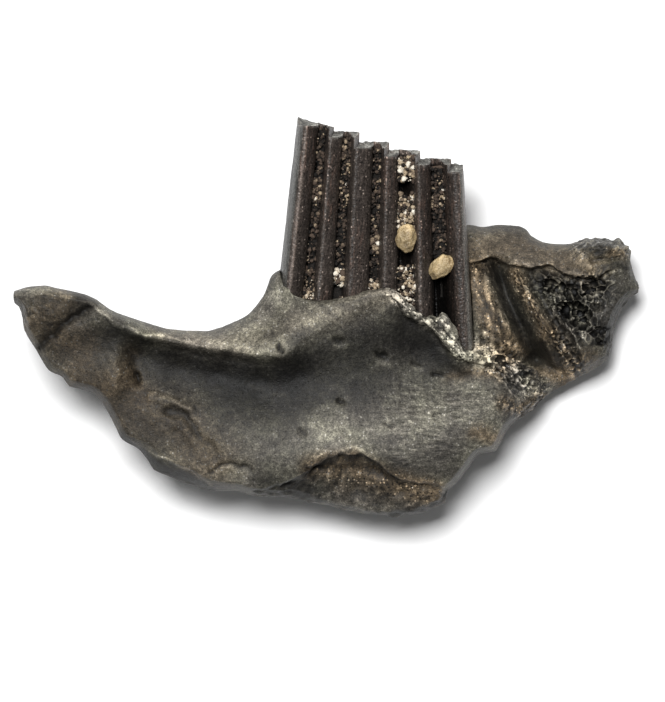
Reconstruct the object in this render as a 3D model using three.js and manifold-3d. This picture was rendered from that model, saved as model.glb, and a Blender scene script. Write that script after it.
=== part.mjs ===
// Fossil muskrat jaw: a broken right lower jaw with its first molar still in the socket.
//
// The jaw lies on its outer (cheek) side, as it does on a table. X runs from the broken front
// to the broken rear, Y from the lower edge up to the chewing face, and Z up from the table to
// the inner (tongue) side. The bone is two overlapping lobes joined in one solid: the body,
// which carries the inner wall of the socket, and the rear lobe, which carries the outer wall,
// the empty sockets of the two rear molars and the shelf above them. The molar, the sediment
// packed in its folds and two sand grains are pieces of their own.

import * as THREE from "three";
import { LoftGeometry } from "three/addons/geometries/LoftGeometry.js";
import { mergeVertices } from "three/addons/utils/BufferGeometryUtils.js";
import Module from "manifold-3d";

const wasm = await Module();
wasm.setup();

// Driving dimensions, in millimetres.
const BODY_STEP = 0.41; // spacing of the body's cross-sections
const REAR_STEP = 0.29; // spacing of the rear lobe's cross-sections behind the molar
const HIDDEN_STEP = 0.9; // the same in front of and beside the molar
const EDGE_WIDTH = 0.14; // how far a sharp edge on the bone spreads
const SLIVER = 0.006; // cuts and joins are cleaned up to this
const FLAT_SPOT_Z = 0; // the height at which the outer side is worn flat

const TOOTH_X = 2.55; // the middle of the molar, along the jaw
const TOOTH_TOP_Y = 9.2; // the highest corner of the chewing face
const CROWN_HEIGHT = 7.9; // chewing face to socket rim
const TOOTH_ROOT_Y = -1.5; // the buried end of the molar
const TOOTH_TOP_Z = 6.3; // the molar's mid-plane at the chewing face
const CROWN_LEAN = 1.4; // how far the mid-plane drops from the chewing face to the rim
const CROWN_FLARE = 0.186; // how much longer the molar is at the rim than at the chewing face
const WEAR_RISE = 0.34; // rise of the chewing face towards the cheek side
const SOCKET_GAP = 0.1; // clearance between the molar and its socket
const SEDIMENT_GAP = 0.08; // clearance between the sediment and the enamel

const COLOURS = { bone: 0x3b3833, tooth: 0x2b2724, sediment: 0x4a4138, grain: 0xb19a6e };

// Lines and surfaces through a few measured points.

// A smooth line through points, each [x, y] or [x, y, z]: it gives the value named by column at any
// x, and never overshoots between two points.
function lineThrough(points, column = 1) {
  const slopes = points.slice(1).map((p, i) => (p[column] - points[i][column]) / (p[0] - points[i][0]));
  const tangents = points.map((_, i) => {
    const before = slopes[i - 1] ?? slopes[i];
    const after = slopes[i] ?? slopes[i - 1];
    return before * after <= 0 ? 0 : (2 * before * after) / (before + after);
  });
  return (x) => {
    const at = Math.min(Math.max(x, points[0][0]), points[points.length - 1][0]);
    let i = 0;
    while (i < points.length - 2 && at > points[i + 1][0]) i++;
    const span = points[i + 1][0] - points[i][0];
    const t = (at - points[i][0]) / span;
    const rest = 1 - t;
    return (
      points[i][column] * (1 + 2 * t) * rest * rest +
      tangents[i] * span * t * rest * rest +
      points[i + 1][column] * t * t * (3 - 2 * t) -
      tangents[i + 1] * span * t * t * rest
    );
  };
}

// A thin springy sheet through spot heights, each [x, y, z].
function sheetThrough(spots, softness = 0.02) {
  const bend = (dx, dy) => {
    const squared = dx * dx + dy * dy;
    return squared > 0 ? squared * Math.log(squared) : 0;
  };
  const count = spots.length;
  const size = count + 3;
  const rows = spots.map(([x, y, z], i) => [
    ...spots.map(([sx, sy], j) => bend(x - sx, y - sy) + (i === j ? softness : 0)),
    1,
    x,
    y,
    z,
  ]);
  rows.push([...spots.map(() => 1), 0, 0, 0, 0]);
  rows.push([...spots.map((s) => s[0]), 0, 0, 0, 0]);
  rows.push([...spots.map((s) => s[1]), 0, 0, 0, 0]);
  for (let column = 0; column < size; column++) {
    let pivot = column;
    for (let r = column + 1; r < size; r++) {
      if (Math.abs(rows[r][column]) > Math.abs(rows[pivot][column])) pivot = r;
    }
    [rows[column], rows[pivot]] = [rows[pivot], rows[column]];
    for (let r = 0; r < size; r++) {
      if (r === column) continue;
      const factor = rows[r][column] / rows[column][column];
      for (let k = column; k <= size; k++) rows[r][k] -= factor * rows[column][k];
    }
  }
  const weights = rows.map((row, i) => row[size] / row[i]);
  return (x, y) =>
    spots.reduce(
      (sum, [sx, sy], i) => sum + weights[i] * bend(x - sx, y - sy),
      weights[count] + weights[count + 1] * x + weights[count + 2] * y,
    );
}

const smooth = (t) => THREE.MathUtils.smoothstep(t, 0, 1);

// How far (x, y) is from a path of [x, y] points.
function distanceToPath(x, y, path) {
  let nearest = Infinity;
  for (let i = 0; i < path.length - 1; i++) {
    const [ax, ay] = path[i];
    const [bx, by] = path[i + 1];
    const length = (bx - ax) ** 2 + (by - ay) ** 2;
    const t = THREE.MathUtils.clamp(((x - ax) * (bx - ax) + (y - ay) * (by - ay)) / length, 0, 1);
    nearest = Math.min(nearest, Math.hypot(x - ax - t * (bx - ax), y - ay - t * (by - ay)));
  }
  return nearest;
}

// A rounded groove along a path, or a ridge where the depth is negative.
const groove = (path, width, depth) => (x, y) => -depth * Math.exp(-((distanceToPath(x, y, path) / width) ** 2));

// A sharp-crested ridge along a path, or a crevice where the height is negative.
const crease = (path, width, height) => (x, y) => height * Math.exp(-distanceToPath(x, y, path) / width);

// A round pit.
const pit = ([px, py], radius, depth) => (x, y) =>
  -depth * Math.exp(-(((x - px) ** 2 + (y - py) ** 2) / radius ** 2));

const sumOf = (features) => (x, y) => features.reduce((total, feature) => total + feature(x, y), 0);

// Solids.

// A closed manifold-3d solid from a three.js geometry.
function solidFrom(geometry) {
  const bare = new THREE.BufferGeometry();
  bare.setAttribute("position", geometry.getAttribute("position"));
  bare.setIndex(geometry.getIndex());
  const merged = mergeVertices(bare, 1e-5);
  return new wasm.Manifold(
    new wasm.Mesh({
      numProp: 3,
      vertProperties: new Float32Array(merged.attributes.position.array),
      triVerts: new Uint32Array(merged.index.array),
    }),
  );
}

// A geometry from a solid, without the slivers that cutting and joining leave.
function geometryFrom(solid) {
  const mesh = solid.simplify(SLIVER).getMesh();
  const geometry = new THREE.BufferGeometry();
  geometry.setAttribute("position", new THREE.BufferAttribute(mesh.vertProperties, 3));
  geometry.setIndex(new THREE.BufferAttribute(mesh.triVerts, 1));
  geometry.computeVertexNormals();
  return geometry;
}

function piece(name, solid, colour, roughness) {
  const mesh = new THREE.Mesh(
    geometryFrom(solid),
    new THREE.MeshStandardMaterial({ color: colour, roughness, metalness: 0, flatShading: true }),
  );
  mesh.name = name;
  return mesh;
}

// The bone's lobes.

// Points along one cross-section, from its marks in order from the lower edge to the upper edge, with a
// number of intervals between each two marks, closer together next to the two edges.
function pointsBetween(marks, intervals) {
  const points = [marks[0]];
  intervals.forEach((count, band) => {
    for (let i = 1; i <= count; i++) {
      let t = i / count;
      if (band === 0) t = THREE.MathUtils.lerp(1 - Math.cos((t * Math.PI) / 2), t, 0.3);
      if (band === intervals.length - 1) t = Math.sin((t * Math.PI) / 2);
      points.push([0, 1].map((axis) => THREE.MathUtils.lerp(marks[band][axis], marks[band + 1][axis], t)));
    }
  });
  return points;
}

// The height of a lobe's inner or outer face at (x, y): the face itself, turned over to meet the edge.
function faceHeight(lobe, face, x, y) {
  const low = lobe.lowerY(x);
  const high = lobe.upperY(x);
  const share = THREE.MathUtils.clamp((y - low) / Math.max(high - low, 0.01), 0, 1);
  const edgeZ = THREE.MathUtils.lerp(lobe.lowerZ(x), lobe.upperZ(x), share);
  if (y - low < 1e-6 || high - y < 1e-6) return edgeZ;
  const fromLow = THREE.MathUtils.clamp(distanceToPath(x, y, lobe.lower) / lobe.lowerRound(x), 0.12, 1);
  const fromHigh = THREE.MathUtils.clamp(distanceToPath(x, y, lobe.upper) / lobe.upperRound(x), 0.12, 1);
  const bevel = fromLow * (1.6 - 0.6 * fromLow);
  const roll = Math.sqrt(1 - (1 - fromHigh) ** 2);
  return THREE.MathUtils.lerp(edgeZ, face(x, y), Math.min(bevel, roll));
}

// One lobe: cross-sections that may run aslant, each through its marks on the lobe's lines.
function lobeSolid(lobe) {
  const rings = lobe.stations.map((station) => {
    const marks = lobe.lines.map((line) => {
      const x = line.at(station);
      const room = (lobe.upperY(x) - lobe.lowerY(x)) * 0.05;
      if (line.y === lobe.lowerY || line.y === lobe.upperY) return [x, line.y(x)];
      return [x, THREE.MathUtils.clamp(line.y(x), lobe.lowerY(x) + room, lobe.upperY(x) - room)];
    });
    for (let i = marks.length - 2; i > 0; i--) {
      marks[i][1] = Math.min(marks[i][1], marks[i + 1][1] - 0.012);
    }
    const front = pointsBetween(marks, lobe.frontRows);
    const ring = front.map(([x, y]) => new THREE.Vector3(x, y, faceHeight(lobe, lobe.front, x, y)));
    const top = marks[marks.length - 1];
    for (let i = 1; i < lobe.backRows; i++) {
      const share = (1 - Math.cos((i / lobe.backRows) * Math.PI)) / 2;
      const [x, y] = [0, 1].map((axis) => THREE.MathUtils.lerp(top[axis], marks[0][axis], share));
      ring.push(new THREE.Vector3(x, y, Math.max(faceHeight(lobe, lobe.back, x, y), FLAT_SPOT_Z)));
    }
    return ring.reverse();
  });
  return solidFrom(new LoftGeometry(rings, { capStart: true, capEnd: true }));
}

// Evenly spaced numbers from one value to another, both included.
function spaced(from, to, step) {
  const count = Math.round((to - from) / step);
  return Array.from({ length: count + 1 }, (_, i) => THREE.MathUtils.lerp(from, to, i / count));
}

// The body: front end, toothless gap, inner socket wall and the lower edge.

const BODY_LOWER = [
  [-14.4, 0.64, 6.6], [-14.17, 0.4, 6.6], [-14.03, -0.05, 6.5], [-14.0, -0.41, 6.5], [-13.7, -1.06, 6.4],
  [-13.4, -1.52, 6.4], [-13.15, -1.98, 6.4], [-12.8, -2.48, 6.4], [-12.2, -2.76, 6.4], [-11.9, -3.17, 6.3],
  [-11.4, -3.31, 6.2], [-10.9, -3.45, 6.2],
  [-10.5, -3.8, 6.1], [-10.1, -4.4, 6.1], [-9.8, -5.0, 6.0], [-9.5, -5.6, 6.0], [-8.7, -6.1, 5.8],
  [-8.3, -6.6, 5.7], [-8.0, -7.05, 5.6], [-7.3, -7.35, 5.4], [-6.3, -7.75, 5.2], [-5.3, -8.0, 5.0],
  [-4.3, -8.0, 4.9], [-3.6, -8.2, 4.7], [-1.7, -8.35, 4.6], [-0.4, -8.6, 4.5], [0.8, -8.9, 4.4],
  [2.2, -9.15, 4.4], [3.1, -9.2, 4.3], [4.1, -9.1, 4.2], [4.7, -8.9, 4.1], [5.35, -8.6, 4.1],
  [5.5, -8.1, 4.0], [5.9, -7.7, 3.9], [6.4, -7.1, 3.7], [7.0, -6.35, 3.5], [7.75, -6.2, 3.4],
  [8.05, -5.7, 3.2], [8.35, -5.15, 3.0], [8.8, -4.75, 2.9], [9.5, -4.3, 2.7], [9.95, -3.75, 2.6],
];
const BODY_UPPER = [
  [-14.4, 1.2, 6.6], [-13.7, 1.4, 6.6], [-13.0, 1.45, 6.6], [-12.5, 1.35, 6.7], [-11.9, 1.2, 6.8],
  [-11.4, 1.1, 6.9], [-10.7, 0.85, 7.0], [-10.0, 0.35, 6.8], [-9.3, 0.05, 6.5], [-8.2, -0.3, 6.2],
  [-7.3, -0.55, 6.0], [-6.3, -0.63, 5.8], [-5.6, -0.63, 5.7], [-5.0, -0.5, 5.6], [-4.3, -0.2, 5.5],
  [-3.8, 0.05, 5.4], [-3.1, 0.8, 5.3], [-2.8, 1.4, 5.2], [-2.6, 1.9, 5.2], [-2.2, 2.15, 5.3],
  [-1.95, 1.6, 6.0], [-1.6, 1.0, 6.8], [-0.4, 0.75, 6.9], [0.8, 0.9, 7.0], [1.9, 1.2, 7.0],
  [2.9, 1.3, 7.1], [3.4, 0.8, 7.0], [4.0, 0.25, 6.8], [4.7, -0.4, 6.7], [5.4, -1.1, 6.5],
  [6.0, -1.6, 6.3], [6.4, -1.85, 6.0], [7.0, -1.6, 5.8], [7.9, -1.6, 5.6], [8.6, -1.9, 5.4],
  [9.1, -2.2, 5.0], [9.7, -2.5, 4.4], [9.95, -3.2, 3.6],
];
// The step where the lower edge has broken away.
const BREAK_LINE = [
  [-14.4, 1.0], [-13.4, -1.0], [-12.2, -2.5], [-10.9, -3.2], [-9.5, -5.2], [-8.4, -5.8], [-7.5, -6.5],
  [-6.3, -6.95], [-5.7, -7.4], [-5.1, -7.9], [-4.3, -7.95], [-3.6, -7.9], [-2.6, -7.75], [-1.7, -7.4],
  [-0.8, -6.95], [-0.1, -6.5], [0.6, -6.25], [1.4, -6.25], [2.0, -6.5], [2.6, -6.9], [3.1, -7.3],
  [4.2, -7.6], [5.0, -7.65], [5.5, -7.9], [6.4, -7.0], [7.0, -6.25], [8.05, -5.6], [8.8, -4.65], [9.95, -3.6],
];
// The crest that runs back from the front end, fades under the molar and ends in the torn rim.
const CREST_LINE = [
  [-14.4, 1.1], [-13.0, 1.2], [-12.0, 0.95], [-10.7, 0.6], [-9.8, -0.2], [-8.6, -0.75], [-6.8, -1.15],
  [-5.0, -1.45], [-3.1, -1.7], [-1.9, -1.6], [-0.9, -0.8], [0.5, 0.1], [1.9, 0.7], [2.9, 1.15],
  [3.5, 0.2], [4.7, -0.4], [5.4, -1.3], [6.1, -1.9], [7.0, -2.1], [7.9, -2.3], [8.6, -3.0], [9.1, -3.4],
  [9.95, -3.5],
];
const BODY_FRONT_SPOTS = [
  [-13.9, 0.5, 7.8], [-13.2, 0.8, 8.0], [-12.3, 0.8, 8.15], [-11.4, 0.8, 8.3], [-13.2, -0.3, 7.75],
  [-12.3, 0.0, 8.0], [-13.7, -0.8, 7.5], [-13.1, -1.5, 7.2],
  [-10.7, 0.6, 8.45], [-9.8, -0.2, 8.35], [-8.6, -0.75, 8.15], [-6.8, -1.15, 7.95], [-5.0, -1.45, 7.8],
  [-3.1, -1.7, 7.65], [-1.75, -1.55, 7.55],
  [-10.0, -1.1, 7.5], [-8.6, -1.65, 7.05], [-6.8, -2.2, 6.85], [-5.0, -2.5, 6.75], [-3.1, -2.8, 6.7],
  [-1.3, -2.6, 6.7],
  [-11.9, -1.3, 7.5], [-10.9, -1.1, 7.65], [-12.3, -2.2, 7.2], [-10.9, -2.4, 7.35], [-9.8, -2.4, 7.4],
  [-10.5, -3.4, 7.2],
  [-9.1, -3.8, 7.15], [-7.7, -3.8, 7.15], [-6.3, -4.1, 7.05], [-8.2, -5.2, 7.1], [-5.9, -5.7, 7.15],
  [-7.3, -6.1, 7.05],
  [-4.5, -3.8, 6.85], [-3.1, -5.2, 7.1], [-4.5, -6.6, 7.1], [-1.3, -3.8, 6.75], [-1.3, -5.7, 7.1],
  [1.0, -3.4, 6.65], [1.0, -5.2, 7.0], [3.3, -3.1, 6.35], [3.3, -5.2, 6.95], [5.6, -2.9, 6.0],
  [5.6, -5.2, 6.75], [7.5, -3.1, 5.9], [7.5, -5.2, 6.2], [7.9, -3.9, 6.0], [0.6, -6.1, 7.25],
  [-1.3, -6.8, 7.1], [3.3, -6.8, 6.9], [5.2, -6.8, 6.5], [8.9, -3.9, 4.6], [9.6, -3.5, 3.9],
  [-2.7, 0.3, 6.3], [-1.7, 0.3, 6.9], [-0.8, 0.1, 7.35], [-1.3, -0.8, 7.5], [0.6, 0.3, 7.6],
  [0.8, -0.6, 7.4], [2.9, 1.0, 7.75], [2.9, -0.4, 7.15], [1.9, -1.75, 6.8], [0.1, -1.75, 7.0],
  [4.2, -0.2, 7.2], [4.5, -1.5, 6.35], [6.1, -2.0, 6.5], [6.3, -2.6, 6.0], [7.6, -2.0, 6.0], [8.8, -2.7, 5.3],
  [-5.9, -1.0, 7.1], [-3.6, -1.1, 7.1], [-8.2, -0.5, 7.5],
  [-0.4, -7.5, 6.5], [1.5, -7.5, 6.4], [3.3, -8.2, 6.3], [4.7, -8.2, 6.0], [2.4, -8.8, 6.1],
  [-2.0, -7.9, 6.6],
];
const BODY_BACK_SPOTS = [
  [-14.2, 0.6, 5.4], [-12.3, -1.1, 5.0], [-12.3, 0.6, 5.6], [-10.5, -1.5, 4.4], [-9.6, -3.8, 4.3],
  [-8.2, -2.9, 3.7], [-8.2, -1.0, 4.4], [-7.7, -5.7, 4.2], [-5.9, -3.8, 2.6], [-5.9, -1.1, 3.8],
  [-5.0, -6.6, 3.4], [-3.6, -3.8, 1.3], [-3.0, -1.0, 2.6], [-2.4, 1.2, 3.2], [-1.3, -2.9, 0.3],
  [-1.3, -6.1, 1.6], [1.0, -2.4, -0.15], [1.0, -4.2, 0.0], [1.0, -7.0, 1.6], [3.3, -2.4, -0.2],
  [3.3, -4.4, 0.1], [3.3, -7.2, 1.7], [5.6, -2.0, 0.0], [5.6, -5.0, 0.7], [7.0, -4.7, 1.0],
  [8.5, -3.4, 0.9], [0.5, 0.5, 1.2], [3.5, 0.3, 0.8],
];

const bodyFeatures = sumOf([
  // The dark crease that parts the front facet from the facet behind it.
  groove([[-13.4, -1.5], [-12.4, -0.55], [-10.95, 0.35]], 0.42, 0.55),
  groove([[-12.9, -2.1], [-12.0, -1.4], [-10.4, -0.6]], 0.9, 0.15),
  // The low rise behind that facet, and the small hole at its foot.
  crease([[-9.9, -1.1], [-9.6, -2.4], [-9.7, -3.3]], 0.4, 0.25),
  groove([[-9.1, -1.6], [-8.95, -2.4], [-8.8, -3.0]], 0.3, 0.35),
  // The curved scar on the lower slope.
  groove([[-8.2, -3.6], [-7.2, -3.9], [-6.35, -4.22]], 0.28, -0.18),
  groove([[-7.3, -4.6], [-6.5, -4.62], [-6.1, -5.2], [-5.7, -5.6], [-5.2, -6.2]], 0.3, 0.34),
  // The chip above the lower edge.
  groove([[-5.35, -7.1], [-4.85, -6.75], [-4.2, -6.7], [-3.6, -7.05]], 0.22, 0.28),
  pit([-4.3, -7.3], 0.6, 0.2),
  // The mental foramen, and the vessel holes of the inner wall.
  pit([-2.2, -1.4], 0.34, 0.6),
  pit([0.4, -1.3], 0.3, 0.3),
  pit([2.5, -1.85], 0.34, 0.4),
  pit([0.6, -4.0], 0.3, 0.3),
  pit([2.75, -5.0], 0.3, 0.25),
  pit([5.1, -4.5], 0.3, 0.25),
  pit([-1.2, -5.3], 0.3, 0.25),
  // The crevice in the broken lower edge.
  crease([[-0.9, -6.95], [0.3, -6.85], [1.4, -6.85], [2.6, -7.1]], 0.22, -0.45),
  // The torn plate of bone beside the molar's root.
  crease([[3.3, 1.0], [4.3, 0.0], [5.2, -0.9], [6.2, -1.75], [7.6, -1.85]], 0.3, 0.35),
  groove([[7.6, -2.1], [8.2, -2.9], [8.9, -3.3]], 0.25, -0.3),
  groove([[8.0, -1.9], [8.7, -2.5], [9.4, -2.9]], 0.25, 0.4),
]);
// How far the broken strip lies below the face above it.
const breakDepth = lineThrough([
  [-14.4, 0], [-9, 0], [-7, 0.15], [-5, 0.1], [-4, 0.1], [-2.4, 0.45], [-0.6, 0.85], [2, 0.9], [4, 0.6],
  [5.4, 0.3], [7, 0], [10, 0],
]);
const breakY = lineThrough(BREAK_LINE);
// How far the face drops just below the crest.
const ledgeDepth = lineThrough([
  [-14.4, 0], [-11.2, 0.1], [-9.5, 0.4], [-8, 0.55], [-4, 0.6], [-2.5, 0.4], [-1.5, 0.15], [0.5, 0.2],
  [2.5, 0.25], [3.4, 0.5], [5, 0.6], [6.2, 0.45], [7.5, 0.3], [9, 0.1], [10, 0],
]);
const crestY = lineThrough(CREST_LINE);
const bodySheet = sheetThrough(BODY_FRONT_SPOTS);
const bodyFront = (x, y) => {
  const broken = breakDepth(x) * smooth((breakY(x) - y) / EDGE_WIDTH);
  const belowCrest = crestY(x) - y;
  const ledge = belowCrest > 0 ? ledgeDepth(x) * smooth(belowCrest / EDGE_WIDTH) * Math.exp(-belowCrest / 0.9) : 0;
  return bodySheet(x, y) + bodyFeatures(x, y) - broken - ledge;
};

// The outer side's V-shaped crest, where the chewing muscle held.
const muscleCrest = sumOf([
  groove([[-1.2, -2.6], [1.5, -1.2], [4.5, 0.2], [7.5, 1.2]], 0.7, 0.45),
  groove([[-1.2, -2.6], [1.5, -4.1], [4.2, -5.2], [6.5, -5.4]], 0.7, 0.45),
]);
const bodyBackSheet = sheetThrough(BODY_BACK_SPOTS);

// The cross-sections of the front end run aslant, along its crease.
const bodyLowerX = lineThrough([
  [-14.4, -14.4], [-12.3, -14.0], [-10.7, -13.4], [-8.7, -10.5], [-6, -7.2], [-2.8, -3.0], [0, 0], [9.95, 9.95],
]);
const BODY = {
  stations: spaced(-14.4, 9.95, BODY_STEP),
  lower: [[-14.4, 1.2], ...BODY_LOWER],
  upper: [...BODY_UPPER, [9.95, -3.75]],
  lowerY: lineThrough(BODY_LOWER),
  lowerZ: lineThrough(BODY_LOWER, 2),
  upperY: lineThrough(BODY_UPPER),
  upperZ: lineThrough(BODY_UPPER, 2),
  lowerRound: lineThrough([[-14.4, 0.3], [-9, 0.4], [-7.4, 0.75], [-5.5, 0.6], [-4.4, 0.4], [5, 0.35], [10, 0.35]]),
  upperRound: lineThrough([[-14.4, 0.4], [-11, 0.4], [-8, 0.8], [-4, 1.2], [-2.4, 0.9], [-1.5, 0.3], [10, 0.3]]),
  front: bodyFront,
  back: (x, y) => bodyBackSheet(x, y) + muscleCrest(x, y),
  frontRows: [3, 1, 9, 1, 3],
  backRows: 8,
};
BODY.lines = [
  { at: bodyLowerX, y: BODY.lowerY },
  { at: bodyLowerX, y: (x) => breakY(x) - EDGE_WIDTH },
  { at: bodyLowerX, y: breakY },
  { at: (s) => THREE.MathUtils.lerp(s, bodyLowerX(s), 0.08), y: (x) => crestY(x) - EDGE_WIDTH },
  { at: (s) => THREE.MathUtils.lerp(s, bodyLowerX(s), 0.05), y: crestY },
  { at: (s) => s, y: BODY.upperY },
];

// The rear lobe: outer socket wall, empty rear sockets, spongy bone and the shelf above them.

const REAR_LOWER = [
  [-3.0, -0.2, 3.9], [-1.5, -1.2, 2.6], [1, -3, 2.2], [4, -4.2, 2.0], [7, -4.6, 2.0], [9.0, -4.3, 2.0],
  [10.0, -3.75, 2.0], [10.7, -3.3, 2.1], [11.7, -2.75, 2.3], [12.5, -2.3, 2.5], [13.0, -1.9, 2.6],
  [13.15, -1.4, 2.6], [13.25, -0.7, 2.6], [13.4, 0.0, 2.6], [13.7, 0.55, 2.7], [14.1, 0.95, 2.8],
  [14.4, 1.15, 2.9],
];
const REAR_UPPER = [
  [-3.0, 0.9, 4.3], [-2.5, 2.0, 3.6], [-1.7, 2.5, 3.0], [-0.4, 2.9, 2.8], [1.5, 3.1, 2.7], [3.3, 3.4, 2.5],
  [5.2, 3.9, 2.3], [6.5, 4.3, 2.2], [7.2, 4.2, 2.2], [7.9, 4.3, 2.2], [8.8, 4.25, 2.2], [9.2, 4.1, 2.2],
  [9.45, 3.8, 2.2], [10.2, 3.45, 2.3], [10.9, 3.4, 2.4], [11.6, 3.5, 2.5], [12.0, 3.65, 2.7],
  [12.8, 3.65, 2.8], [13.2, 3.55, 2.8], [13.5, 3.7, 2.8], [13.7, 3.4, 2.8], [14.0, 3.15, 2.8],
  [14.05, 2.6, 2.8], [14.15, 1.95, 2.9], [14.4, 1.5, 2.9],
];
// The lip of the shelf, which hangs over the empty sockets.
const SHELF_LINE = [
  [-3.0, 0.6], [-1.0, 1.6], [2, 2.2], [5, 2.5], [6.7, 2.55], [7.45, 2.8], [8.2, 2.55], [8.8, 2.4],
  [9.3, 2.3], [9.7, 2.45], [10.3, 2.4], [10.8, 2.05], [11.3, 1.85], [12.4, 1.85], [12.9, 2.2],
  [13.4, 2.35], [14.0, 2.2], [14.4, 1.4],
];
const REAR_FRONT_SPOTS = [
  [-2.5, 1.0, 3.7], [-1, 1.8, 3.3], [1, 2.4, 3.3], [4, 2.8, 3.3], [1, -1, 3.0], [4, -1, 3.0],
  [6.5, 4.0, 3.3], [6.5, 2.8, 4.4], [7.9, 4.0, 3.3], [7.9, 3.1, 4.1], [9.2, 3.8, 3.2], [9.3, 2.6, 4.5],
  [10.7, 3.2, 3.4], [10.7, 2.3, 4.4], [12.5, 3.4, 4.0], [12.5, 2.5, 4.6], [13.6, 3.1, 4.0],
  [13.6, 2.2, 4.3], [14.1, 1.6, 3.8],
  [6.8, 2.0, 4.9], [6.8, 0.8, 5.0], [7.0, -0.6, 5.0], [7.9, -1.3, 4.9], [8.6, -1.5, 4.4],
  [8.5, 1.9, 4.8], [9.3, 0.8, 4.8], [10.1, -0.4, 4.6], [10.8, -1.5, 4.3], [11.2, -2.3, 3.8],
  [10.7, 1.2, 4.7], [12.0, 1.2, 4.6], [11.6, 0.3, 4.5], [12.7, 0.3, 4.5], [12.5, -1.1, 4.4],
  [12.0, -2.1, 3.9], [12.9, -1.5, 4.0], [10.4, -2.7, 2.9], [10.1, -3.1, 2.8], [10.9, -2.9, 2.7],
  [8.0, -3.0, 3.0], [9.2, -3.2, 2.9],
];
const REAR_BACK_SPOTS = [
  [-2.2, 1.2, 2.7], [-1.3, 2.2, 2.2], [1.0, 2.5, 1.6], [3.3, 2.6, 1.1], [5.6, 3.3, 0.9], [8, 3.5, 0.8],
  [10.2, 3.0, 0.9], [12.5, 3.1, 1.2], [13.9, 2.6, 1.8], [1, -0.6, 0.5], [3.3, -0.6, 0.0], [5.6, -0.6, -0.1],
  [8, -0.1, 0.0], [10.2, -0.1, 0.3], [12.5, -0.1, 0.9], [12.5, -1.5, 1.3], [10.2, -2.9, 0.9], [8, -2.9, 0.4],
];

const rearFeatures = sumOf([
  // The socket of the second molar, a broad slanting trough.
  groove([[7.5, 2.3], [7.8, 1.0], [8.7, -0.6], [9.6, -2.1]], 0.5, 1.7),
  groove([[9.4, -1.9], [10.2, -2.2], [10.9, -2.5]], 0.35, 0.8),
  // The ridge of bone between its two root beds.
  crease([[8.5, 2.2], [9.2, 0.8], [10.2, -0.9], [11.0, -2.2]], 0.28, 0.4),
  // The socket's second trough, and the thin wall behind it.
  groove([[9.3, 2.0], [10.0, 0.6], [10.9, -0.9], [11.4, -1.9]], 0.27, 0.85),
  crease([[9.9, 2.0], [10.5, 0.6], [11.4, -1.0], [11.9, -2.1]], 0.2, 0.3),
  // The largest cells of the spongy bone.
  pit([10.75, 1.3], 0.34, 0.9),
  pit([11.3, 1.25], 0.24, 0.6),
  pit([12.2, 1.35], 0.28, 0.8),
  pit([11.7, 0.1], 0.36, 1.0),
  pit([11.1, 0.35], 0.26, 0.7),
  pit([12.4, 0.5], 0.24, 0.5),
  pit([12.5, -0.7], 0.24, 0.4),
  pit([12.2, -1.4], 0.22, 0.35),
  // The lumps on the shelf's rear corner.
  groove([[11.7, 3.0], [12.4, 3.25], [13.3, 3.2]], 0.3, -0.4),
  groove([[12.2, 2.6], [13.4, 2.75]], 0.16, 0.3),
  groove([[11.5, 2.55], [12.0, 2.4]], 0.25, -0.25),
]);
// How far the sockets lie below the lip of the shelf.
const lipDepth = lineThrough([
  [-3, 0], [6.4, 0.1], [7.2, 0.9], [8.6, 0.8], [9.6, 0.9], [11.5, 0.9], [12.4, 0.7], [13.2, 0.25], [14.4, 0],
]);
const shelfY = lineThrough(SHELF_LINE);
const rearSheet = sheetThrough(REAR_FRONT_SPOTS);
const rearBackSheet = sheetThrough(REAR_BACK_SPOTS);
const rearFront = (x, y) => {
  const belowLip = shelfY(x) - y;
  const drop = belowLip > 0 ? lipDepth(x) * smooth(belowLip / EDGE_WIDTH) * Math.exp(-belowLip / 0.7) : 0;
  return rearSheet(x, y) + rearFeatures(x, y) - drop;
};

// The cross-sections behind the molar run aslant, along the troughs of the sockets.
const rearLowerX = lineThrough([
  [-3, -3], [5, 5.6], [6.5, 8.9], [7.45, 10.6], [8.6, 11.5], [9.3, 12.2], [10.4, 12.8], [12, 13.15],
  [13.2, 13.45], [14.4, 14.4],
]);
const REAR = {
  stations: [...spaced(-3, 6.0, HIDDEN_STEP), ...spaced(6.3, 14.4, REAR_STEP)],
  lower: REAR_LOWER,
  upper: REAR_UPPER,
  lowerY: lineThrough(REAR_LOWER),
  lowerZ: lineThrough(REAR_LOWER, 2),
  upperY: lineThrough(REAR_UPPER),
  upperZ: lineThrough(REAR_UPPER, 2),
  lowerRound: lineThrough([[-3, 0.5], [10, 0.5], [14.4, 0.3]]),
  upperRound: lineThrough([[-3, 0.5], [6, 0.5], [11, 0.4], [14.4, 0.3]]),
  front: rearFront,
  back: (x, y) => rearBackSheet(x, y) + muscleCrest(x, y),
  frontRows: [20, 1, 4],
  backRows: 7,
};
REAR.lines = [
  { at: rearLowerX, y: REAR.lowerY },
  { at: (s) => THREE.MathUtils.lerp(s, rearLowerX(s), 0.05), y: (x) => shelfY(x) - EDGE_WIDTH },
  { at: (s) => THREE.MathUtils.lerp(s, rearLowerX(s), 0.03), y: shelfY },
  { at: (s) => s, y: REAR.upperY },
];

// The molar.

// The place of a point of the molar: along and across are measured in its cross-section, and y is
// its height on the crown.
function molarPoint(along, across, y) {
  const down = (TOOTH_TOP_Y - y) / CROWN_HEIGHT;
  return new THREE.Vector3(
    TOOTH_X - 0.17 * down + along * (0.98 + CROWN_FLARE * down),
    y,
    TOOTH_TOP_Z - CROWN_LEAN * down + across * (1 + 0.08 * down),
  );
}

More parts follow.
